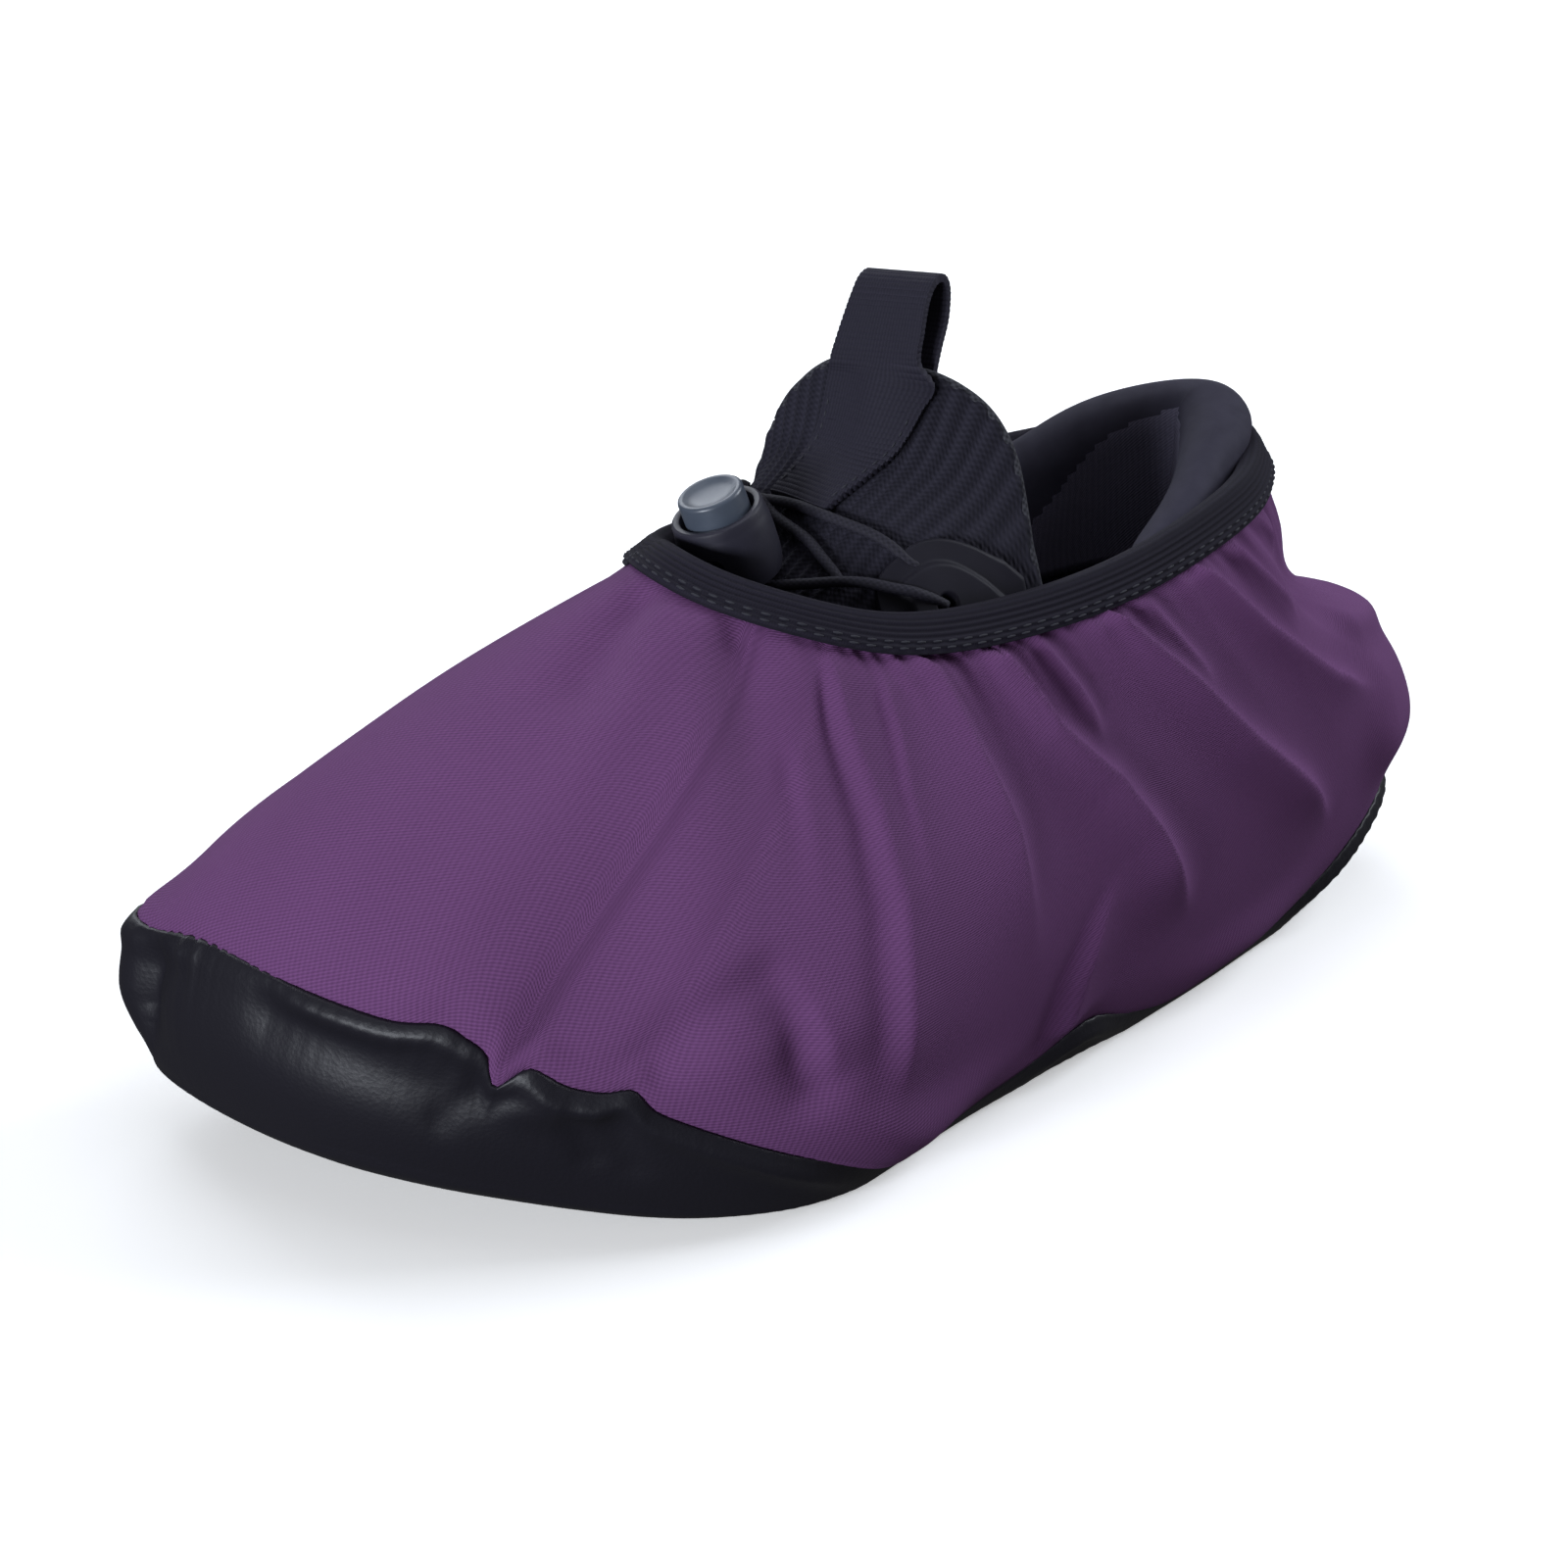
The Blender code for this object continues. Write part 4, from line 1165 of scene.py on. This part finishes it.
@dataclass(frozen=True)
class TongueForm:
    """The vault of the tongue, read by section number and share of its half width."""

    sections: tuple[Section, ...] = (
        Section(0.291, 0.827, 21.0, 0.0),
        Section(0.354, 0.832, 20.0, 0.0),
        Section(0.401, 0.880, 23.5, 0.0),
        Section(0.438, 0.945, 27.5, 1.5),
        Section(0.467, 1.014, 29.5, 4.0),
        Section(0.493, 1.062, 30.5, 7.0),
        Section(0.511, 1.115, 31.0, 11.0),
        Section(0.524, 1.234, 31.5, 17.0),
    )
    middle: float = LAST.midline - 3.25 * MM
    edge: float = 0.81
    edge_drop: float = 6 * MM
    power: float = 3.6
    shoulder: float = 0.75
    inner_swing: float = -0.25
    inner_spread: float = 0.075
    step: float = 0.02

    @property
    def last(self) -> float:
        """Number of the top section."""
        return len(self.sections) - 1.0

    def value(self, name: str, section: Array) -> Array:
        """One column of the sections, read smoothly."""
        return spline([getattr(row, name) for row in self.sections], section)

    def point(self, section: Array, share: Array) -> Array:
        """Points of the tongue's outer face."""
        section, share = np.broadcast_arrays(np.asarray(section, float), np.asarray(share, float))
        crown = self.value("crown", section) * LAST.instep_height
        edge = np.minimum(self.edge * LAST.instep_height, crown - self.edge_drop)
        side = np.abs(share)
        spread = 1 + self.inner_spread * ease(-share)
        x = self.middle + share * spread * self.value("half_width", section) * MM
        swing = ease(side / self.shoulder) * np.where(share > 0, 1, self.inner_swing)
        y = (self.value("along", section) - 0.5) * LAST.length + self.value("sweep", section) * MM * swing
        z = edge + (crown - edge) * (1 - side**self.power)
        return np.stack((x, y, z), -1)

    def normal(self, section: Array, share: Array) -> Array:
        """Directions out of the tongue's outer face."""
        run = self.point(section + self.step, share) - self.point(section - self.step, share)
        turn = self.point(section, share + self.step) - self.point(section, share - self.step)
        return unit(np.cross(turn, run))

    def raised(self, section: Array, share: Array, lift: Array) -> Array:
        """Points at a height over the outer face."""
        return self.point(section, share) + self.normal(section, share) * np.asarray(lift)[..., None]


VAULT = TongueForm()


@dataclass
class Tongue:
    """Rib-knit tongue with an overlocked edge."""

    columns: int = 200
    rows: int = 70
    wall: float = 2.5 * MM
    rib: float = 2.7 * MM
    rib_height: float = 0.30 * MM
    front_rows: float = 0.7
    front_share: float = 0.80
    edging: float = 0.9 * MM
    edging_sides: int = 12
    edging_steps: int = 150
    edging_reach: float = 0.985
    rim: Stops = (
        (-1.0, -0.10), (-0.72, -0.11), (-0.53, -0.10), (-0.28, 0.10), (0.0, 0.18), (0.27, 0.12), (0.43, 0.0),
        (0.62, -0.12), (0.78, -0.18), (0.89, -0.22), (1.0, -0.10),
    )

    def top(self, share: Array) -> Array:
        """Section number of the tongue's upper edge."""
        return VAULT.last + np.interp(share, [stop[0] for stop in self.rim], [stop[1] for stop in self.rim])

    def surface(self, u: Array, v: Array) -> Mapped:
        """Points and cloth lengths of the tongue, for the grid."""
        share = 2 * u - 1
        section = v * (self.top(share) + 1) - 1
        across = share * VAULT.value("half_width", np.maximum(section, 0)) * MM
        ribs = self.rib_height * np.cos(across / self.rib * 2 * math.pi) - self.rib_height
        vault = VAULT.raised(np.maximum(section, 0), share, ribs)
        front = share * self.front_rows
        under = LAST.point(front, self.front_share)
        under = under - LAST.normal(front, self.front_share + 0 * front) * (UPPER_WALL + 2 * WALL_GAP)
        t = np.clip(-section, 0, 1)[..., None]
        points = (1 - t) * vault + t * under
        return points, np.stack((across, run_length(points, 0)), -1)

    def build(self) -> None:
        """Makes the tongue and its edging."""
        bm = patch(self.columns, self.rows, self.surface)
        obj = add_piece("knit_tongue", bm, (TONGUE_KNIT,), replaces=("tongue",), turn_out=False)
        thicken(obj, self.wall)
        share = np.linspace(-self.edging_reach, self.edging_reach, self.edging_steps)
        rim = VAULT.raised(self.top(share), share, 0 * share - self.wall / 2)
        add_piece("tongue_edging", tube(rim, self.edging, self.edging_sides), (OVERLOCK,))


@dataclass
class PullLoop:
    """Ribbed webbing sewn up the tongue, ending in a standing loop."""

    bends: Stops = (
        (-0.4, 3.0), (0.8, 9.0), (2.4, 14.0), (5.0, 17.0), (8.2, 17.2), (10.2, 14.5), (9.8, 9.0), (7.4, 4.0),
        (5.6, -0.5), (5.0, -5.0), (5.0, -9.5),
    )
    width: float = 19 * MM
    wall: float = 1.4 * MM
    middle: float = LAST.midline - 2.9 * MM
    turn: float = math.radians(18)
    roll: float = math.radians(6)
    skew: float = 3 * MM
    taper: float = 3 * MM
    taper_rise: float = 17.0
    strip_taper: float = 0.26
    strip_from: float = 4.0
    strip_to: float = 6.95
    strip_steps: int = 10
    columns: int = 14
    rows: int = 420
    rib: float = 1.05 * MM
    rib_height: float = 0.10 * MM
    edge_round: float = 0.4 * MM
    sewn_inset: float = 1.2 * MM
    sewn_steps: int = 80

    def strip_share(self, section: Array, across: Array) -> Array:
        """Shares of the tongue's half width, at distances from the strip's middle."""
        left = (self.strip_to - section) / (self.strip_to - self.strip_from)
        share = self.middle - self.skew * left - VAULT.middle + across * (1 - self.strip_taper * left)
        return share / (VAULT.value("half_width", section) * MM)

    def line(self, across: Array) -> Array:
        """Rows of points up the strip and round the loop, at distances from its middle."""
        wide = np.array((math.cos(self.turn), math.sin(self.turn), math.sin(self.roll)))
        back = np.array((-math.sin(self.turn), math.cos(self.turn), 0))
        lift = np.full(across.shape, 2 * WALL_GAP + self.wall / 2)
        rows = []
        for section in np.linspace(self.strip_from, self.strip_to, self.strip_steps):
            share = self.strip_share(section, across)
            rows.append(VAULT.raised(section + 0 * share, share, lift))
        top = VAULT.point(VAULT.last, (self.middle - VAULT.middle) / (VAULT.sections[-1].half_width * MM))
        for step_back, step_up in self.bends:
            narrow = self.taper * ease(step_up / self.taper_rise)
            held = across + narrow * (0.5 - across / self.width)
            rows.append(top + back * step_back * MM + UP * step_up * MM + held[:, None] * wide)
        return np.array(rows)

    def surface(self, u: Array, v: Array) -> Mapped:
        """Points and cloth lengths of the webbing, for the grid."""
        across = (u[0] - 0.5) * self.width
        rows = self.line(across)
        run = run_length(rows[:, len(across) // 2], 0)
        even = np.linspace(0, run[-1], len(v))
        points = spline(rows, np.interp(even, run, np.arange(len(run))))
        side = np.gradient(points, axis=1)
        ahead = np.gradient(points, axis=0)
        out = unit(np.cross(side, ahead))
        ribs = self.rib_height * np.cos(even / self.rib * 2 * math.pi)
        cloth = np.stack(np.broadcast_arrays(across[None, :], even[:, None]), -1)
        return points + out * ribs[:, None, None], cloth

    def build(self) -> None:
        """Makes the webbing and the stitches along its edges."""
        bm = patch(self.columns, self.rows, self.surface)
        obj = add_piece(
            "webbing_loop", bm, (WEBBING,), replaces=("pull_loop",), turn_out=False,
        )
        thicken(obj, self.wall, offset=0.0)
        soften(obj, self.edge_round)
        stitches = bmesh.new()
        section = np.linspace(self.strip_from + 0.05, self.strip_to - 0.3, self.sewn_steps)
        lift = 0 * section + (2 * WALL_GAP + self.wall + self.rib_height)
        for edge in (-1, 1):
            share = self.strip_share(section, edge * (self.width / 2 - self.sewn_inset))
            path = VAULT.raised(section, share, lift)
            Stitching(1.5 * MM, 2.4 * MM, 0.2 * MM).sew(stitches, path, VAULT.normal(section, share))
        add_piece("loop_stitches", stitches, (THREAD,))


@dataclass
class LaceTab:
    """Moulded tab on the tongue's side, with a raised boss and a hole that takes the cord."""

    name: str
    side: int
    edge: Stops = (
        (3.20, 0.86), (3.42, 0.70), (4.04, 0.66), (4.60, 0.675), (5.40, 0.78), (6.02, 0.86), (6.41, 0.92),
    )
    low: float = 0.985
    wall: float = 1.8 * MM
    boss_from: float = 3.75
    boss_to: float = 5.75
    boss_margin: float = 0.105
    boss_rise: float = 1.2 * MM
    round: float = 1.0 * MM
    hole: tuple[float, float] = (4.41, 0.895)
    hole_radius: float = 1.5 * MM
    hole_rim: float = 0.8 * MM
    hole_start: float = 0.5 * MM
    hole_depth: float = 0.9
    boss_edge: float = 1.4 * MM
    section_run: float = 8.5 * MM
    columns: int = 90
    rows: int = 60

    def surface(self, u: Array, v: Array) -> Mapped:
        """Points and lengths of the tab, for the grid."""
        first, last = self.edge[0][0], self.edge[-1][0]
        section = first + (last - first) * u
        stops = np.interp(section, [stop[0] for stop in self.edge], np.arange(len(self.edge)))
        brow = spline([stop[1] for stop in self.edge], stops)
        share = brow + (self.low - brow) * v
        reach = VAULT.value("half_width", section) * MM
        pace = self.section_run
        rim = np.minimum.reduce(((share - brow) * reach * 1.6, (self.low - share) * reach * 2.4,
                                 (section - first) * pace, (last - section) * pace))
        plate = self.wall * np.sqrt(1 - (1 - np.clip(rim / self.round, 0, 1)) ** 2)
        inside = np.minimum.reduce(((share - brow - self.boss_margin) * reach * 1.8,
                                    (section - self.boss_from) * pace, (self.boss_to - section) * pace))
        boss = self.boss_rise * ease(inside / self.boss_edge + 0.5)
        off = np.hypot((section - self.hole[0]) * pace, (share - self.hole[1]) * reach * 1.8)
        dent = 1 - ease((off - self.hole_radius + self.hole_start) / self.hole_rim)
        dent = -(self.wall + self.boss_rise) * self.hole_depth * dent
        points = VAULT.raised(section, self.side * share, WALL_GAP + np.maximum(plate + boss + dent, 0))
        return points, np.stack((section * pace, share * reach), -1)

    def build(self) -> None:
        """Makes the tab."""
        bm = patch(self.columns, self.rows, self.surface)
        add_piece("moulded_" + self.name, bm, (RUBBER,), replaces=(self.name,))


@dataclass(frozen=True)
class CordRun:
    """One run of the drawcord, by tongue section, share of half width and lift of its middle in mm."""

    name: str
    node: str
    side: int
    stops: tuple[tuple[float, float, float], ...]
    radius: float = 1.05 * MM
    steps: int = 48

    def build(self) -> None:
        """Makes the run as a round cord."""
        t = np.linspace(0, len(self.stops) - 1, self.steps)
        stops = spline(self.stops, t)
        path = VAULT.raised(stops[:, 0], self.side * stops[:, 1], stops[:, 2] * MM)
        LOG.info("%s is %.0f mm long", self.name, run_length(path, 0)[-1] / MM)
        add_piece(self.name, tube(path, self.radius), (CORD,), replaces=(self.node,))


CROSS_STOPS = (
    (4.00, -0.66, 1.4), (3.86, -0.48, 1.6), (3.81, -0.33, 2.0), (3.92, -0.01, 1.6), (3.90, 0.37, 1.4),
    (4.05, 0.67, 1.4), (4.20, 0.75, 1.2),
)
FRONT_STOPS = (
    (3.73, -0.31, 3.0), (3.56, -0.16, 2.0), (3.42, 0.14, 1.4), (3.19, 0.37, 1.4), (3.04, 0.56, 1.4),
)
SIDE_STOPS = (
    (2.31, 0.14, 2.4), (2.50, 0.30, 1.8), (2.85, 0.51, 1.8), (3.46, 0.73, 2.6), (3.89, 0.82, 3.4),
    (4.41, 0.895, 2.4),
)
CORD_RUNS = (
    CordRun("drawcord_cross", "cord_cross", 1, CROSS_STOPS),
    CordRun("drawcord_front", "cord_lateral_front", 1, FRONT_STOPS),
    CordRun("drawcord_outer_side", "cord_lateral_side", 1, SIDE_STOPS),
    CordRun("drawcord_inner_side", "cord_medial_side", -1, SIDE_STOPS),
)


@dataclass
class CordLock:
    """Toggle that holds the drawcord: a turned body with a cord hole, and a dished press button."""

    base: Vector = field(default_factory=lambda: Vector((-5.25, -25.7, 96.4)) * MM)
    axis: Vector = field(default_factory=lambda: Vector((-0.11, -0.31, 0.94)).normalized())
    steps: int = 96
    body: Stops = (
        (0, 0), (7.6, 0), (8.2, 0.3), (8.6, 1.2), (9.0, 4), (9.15, 8), (9.15, 10.4), (9.0, 11.9),
        (8.85, 12.6), (8.85, 13.6), (8.7, 14.1), (8.3, 14.4), (7.7, 14.4), (7.3, 14.2), (7.15, 13.7),
        (7.15, 2), (0, 2),
    )
    button: Stops = (
        (0, 9.9), (6.3, 9.9), (6.3, 17.7), (6.18, 18.1), (5.9, 18.33), (5.5, 18.4), (5.1, 18.28), (4.4, 17.9),
        (3.2, 17.6), (1.6, 17.45), (0, 17.42),
    )
    hole_radius: float = 2.1 * MM
    hole_height: float = 7 * MM
    hole_turn: float = math.radians(-40)
    hole_length: float = 30 * MM
    hole_sides: int = 32
    sharp: float = math.radians(35)

    def frame(self) -> Matrix:
        """Place and direction of the lock."""
        return Matrix.Translation(self.base) @ self.axis.to_track_quat("Z", "Y").to_matrix().to_4x4()

    def turned(self, outline: Sequence[tuple[float, float]]) -> BMesh:
        """A shape turned from an outline of radius and height in mm."""
        bm = bmesh.new()
        verts = [bm.verts.new((radius * MM, 0, height * MM)) for radius, height in outline]
        edges = [bm.edges.new(pair) for pair in zip(verts, verts[1:])]
        bmesh.ops.spin(bm, geom=verts + edges, axis=(0, 0, 1), cent=(0, 0, 0), angle=2 * math.pi,
                       steps=self.steps, use_merge=True)
        bmesh.ops.remove_doubles(bm, verts=bm.verts, dist=1e-6)
        bmesh.ops.transform(bm, matrix=self.frame(), verts=bm.verts)
        return bm

    def drill(self, body: bpy.types.Object) -> None:
        """Cuts the cord hole through the body."""
        bm = bmesh.new()
        bmesh.ops.create_cone(
            bm, cap_ends=True, segments=self.hole_sides, radius1=self.hole_radius, radius2=self.hole_radius,
            depth=self.hole_length,
        )
        turn = Matrix.Rotation(self.hole_turn, 4, "Z") @ Matrix.Rotation(math.pi / 2, 4, "Y")
        place = self.frame() @ Matrix.Translation((0, 0, self.hole_height)) @ turn
        bmesh.ops.transform(bm, matrix=place, verts=bm.verts)
        cutter = link_mesh("cord_hole", bm)
        cut = body.modifiers.new("cord_hole", "BOOLEAN")
        cut.object = cutter
        cut.solver = "EXACT"
        shaped = body.evaluated_get(bpy.context.evaluated_depsgraph_get())
        drilled = bpy.data.meshes.new_from_object(shaped)
        body.modifiers.clear()
        body.data = drilled
        bpy.data.objects.remove(cutter)
        drilled.set_sharp_from_angle(angle=self.sharp)

    def build(self) -> None:
        """Makes the body and the button."""
        body = self.turned(self.body)
        body = add_piece("lock_body", body, (PLASTIC,), replaces=("cord_lock_body",))
        self.drill(body)
        button = add_piece(
            "lock_button_cap", self.turned(self.button), (GREY_PLASTIC,), LOCK_BUTTON,
            ("cord_lock_button",),
        )
        button.data.set_sharp_from_angle(angle=self.sharp)


@dataclass
class HeelCollar:
    """Padded collar that stands inside the back of the opening, with a full rolled top."""

    pad: float = 10.5 * MM
    roll: tuple[tuple[float, float, float], ...] = (
        (0, -1.6, 0.7), (0, -0.7, 0.95), (0.10, -0.22, 1), (0.30, -0.03, 1), (0.55, 0, 1), (0.84, -0.14, 1),
        (1, -0.5, 1), (1.06, -1.1, 0.9), (1.12, -1.7, 0.6),
    )
    foot: float = 12.4 * MM
    depth: float = 24 * MM
    rise: float = 10 * MM
    half_rise: float = 2.0
    peak: float = 0.3
    lean: float = 4.2 * MM
    lean_from: float = 2.5 * MM
    lean_over: float = 6 * MM
    reach: float = 2.6
    face: float = UPPER_WALL + 4 * WALL_GAP + 1.2 * MM
    columns: int = 150
    rows: int = 60
    fill: float = 0.8
    lining_painted_fill_from: float = 47 * MM

    def surface(self, u: Array, v: Array) -> Mapped:
        """Points and cloth lengths of the padded roll, for the grid."""
        place = HEEL_ROW + (2 * u - 1) * self.reach
        out = LAST.outward("collar", place)
        face = LAST.edge("collar", place) - out * self.face
        rise = self.rise * np.cos((place - HEEL_ROW - self.peak) / self.half_rise * math.pi / 2)
        pad = self.pad
        roll = [(inwards * pad, up * pad, raised) for inwards, up, raised in self.roll]
        outline = np.array([(0, -self.depth, 0), *roll, (self.foot, -self.depth, 0)])
        inwards, up, raised = np.moveaxis(spline(outline, v * (len(outline) - 1)), -1, 0)
        ends = np.sqrt(np.clip(1 - np.abs(2 * u - 1) ** 16, 0, 1))
        over = self.lean * ease((rise - self.lean_from) / self.lean_over)
        over = over * bell((up + 0.35 * pad) / (0.55 * pad)) * (1 - ease(v * 2 - 0.5))
        inwards = inwards * (0.35 + 0.65 * ends) - over
        points = face - out * inwards[..., None] + UP * (up + rise * raised)[..., None]
        return points, lengths(points)

    def build(self) -> None:
        """Makes the padded collar."""
        bm = patch(self.columns, self.rows, self.surface)
        bmesh.ops.holes_fill(bm, edges=[edge for edge in bm.edges if edge.is_boundary], sides=0)
        # Faces past this length along the roll take the lighter lining: painted light that lifts the shaded
        # inside of the collar.
        cloth = bm.loops.layers.uv.active
        for face in bm.faces:
            face.material_index = int(min(loop[cloth].uv.y for loop in face.loops) > self.lining_painted_fill_from)
        obj = add_piece(
            "padded_heel_collar", bm, (PADDING, LINING_PAINTED_FILL), replaces=("heel_collar",),
        )


# Floor, light and camera


@dataclass(frozen=True)
class SoftBox:
    """A large soft light."""

    name: str
    place: tuple[float, float, float]
    size: float
    power: float
    tint: Colour = (0.93, 0.98, 1.06)
    aim: tuple[float, float, float] = (0.0, 0.0, 0.05)

    def build(self) -> None:
        """Hangs the light and turns it to the shoe."""
        light = bpy.data.lights.new(self.name, "AREA")
        light.size = self.size
        light.energy = self.power
        light.color = self.tint
        obj = bpy.data.objects.new(self.name, light)
        obj.location = self.place
        obj.rotation_euler = (Vector(self.aim) - Vector(self.place)).to_track_quat("-Z", "Y").to_euler()
        bpy.context.scene.collection.objects.link(obj)


@dataclass
class Studio:
    """White floor, soft light and the camera."""

    back: tuple[float, float, float] = (0.6925, -0.5914, 0.4131)
    right: tuple[float, float, float] = (0.6494, 0.7604, 0.0)
    place: tuple[float, float, float] = (0.6696, -0.5915, 0.4535)
    lens: float = 117.98
    sensor: float = 36.0
    floor_size: float = 6.0
    floor_white: float = 1.0
    floor_glow: float = 0.36
    sky: float = 0.13
    ground: float = 0.08
    sky_from: float = -0.40
    sky_to: float = 0.50
    lights: tuple[SoftBox, ...] = (
        SoftBox("window", (-1.15, 0.35, 0.80), 0.9, 7.0),
        SoftBox("top", (-0.15, 0.10, 1.25), 1.0, 3.0),
        SoftBox("key", (0.24, -1.53, 0.34), 0.32, 12.0),
        SoftBox("side", (0.62, -1.43, 0.30), 0.28, 9.0),
        SoftBox("rim", (0.45, 1.30, 0.95), 0.9, 18.0),
    )

    def make_sky(self) -> bpy.types.World:
        """White light from above that fades to a dark ground."""
        world = bpy.data.worlds.new("studio")
        world.use_nodes = True
        nodes, links = world.node_tree.nodes, world.node_tree.links
        parts = nodes.new("ShaderNodeSeparateXYZ")
        links.new(nodes.new("ShaderNodeTexCoord").outputs["Generated"], parts.inputs[0])
        spread = nodes.new("ShaderNodeMapRange")
        links.new(parts.outputs["Z"], spread.inputs["Value"])
        ranges = {"From Min": self.sky_from, "From Max": self.sky_to}
        ranges |= {"To Min": self.ground, "To Max": self.sky}
        for socket, value in ranges.items():
            spread.inputs[socket].default_value = value
        links.new(spread.outputs["Result"], nodes["Background"].inputs["Strength"])
        nodes["Background"].inputs["Color"].default_value = (1, 1, 1, 1)
        return world

    def build(self) -> None:
        """Sets floor, sky, lights and camera."""
        scene = bpy.context.scene
        scene.view_settings.view_transform = "Standard"
        bm = bmesh.new()
        bmesh.ops.create_grid(bm, x_segments=2, y_segments=2, size=self.floor_size / 2)
        floor = link_mesh("floor", bm)
        paper = Recipe("floor_paper")
        paper.shade({
            "Base Color": (self.floor_white,) * 3 + (1,),
            "Roughness": 0.9,
            "Specular IOR Level": 0.0,
            "Emission Color": (1, 1, 1, 1),
            "Emission Strength": self.floor_glow,
        })
        floor.data.materials.append(paper.material)
        floor.visible_diffuse = False
        floor.visible_glossy = False
        scene.world = self.make_sky()
        for light in self.lights:
            light.build()
        back, right = Vector(self.back).normalized(), Vector(self.right).normalized()
        camera = bpy.data.objects.new("camera", bpy.data.cameras.new("camera"))
        camera.data.lens = self.lens
        camera.data.sensor_width = self.sensor
        turn = Matrix((right, back.cross(right), back)).transposed()
        camera.matrix_world = Matrix.Translation(self.place) @ turn.to_4x4()
        scene.collection.objects.link(camera)
        scene.camera = camera


def main() -> None:
    """Builds the studio and every piece, and notes the sizes."""
    logging.basicConfig(level=logging.INFO, format="%(name)s: %(message)s")
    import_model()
    Studio().build()
    for run in CORD_RUNS:
        run.build()
    for part in (Upper(), SoleCup(), Binding(), Tongue(), PullLoop(), HeelCollar(), CordLock()):
        part.build()
    LaceTab("lace_tab_lateral", 1).build()
    LaceTab("lace_tab_medial", -1).build()


if __name__ == "__main__":
    main()
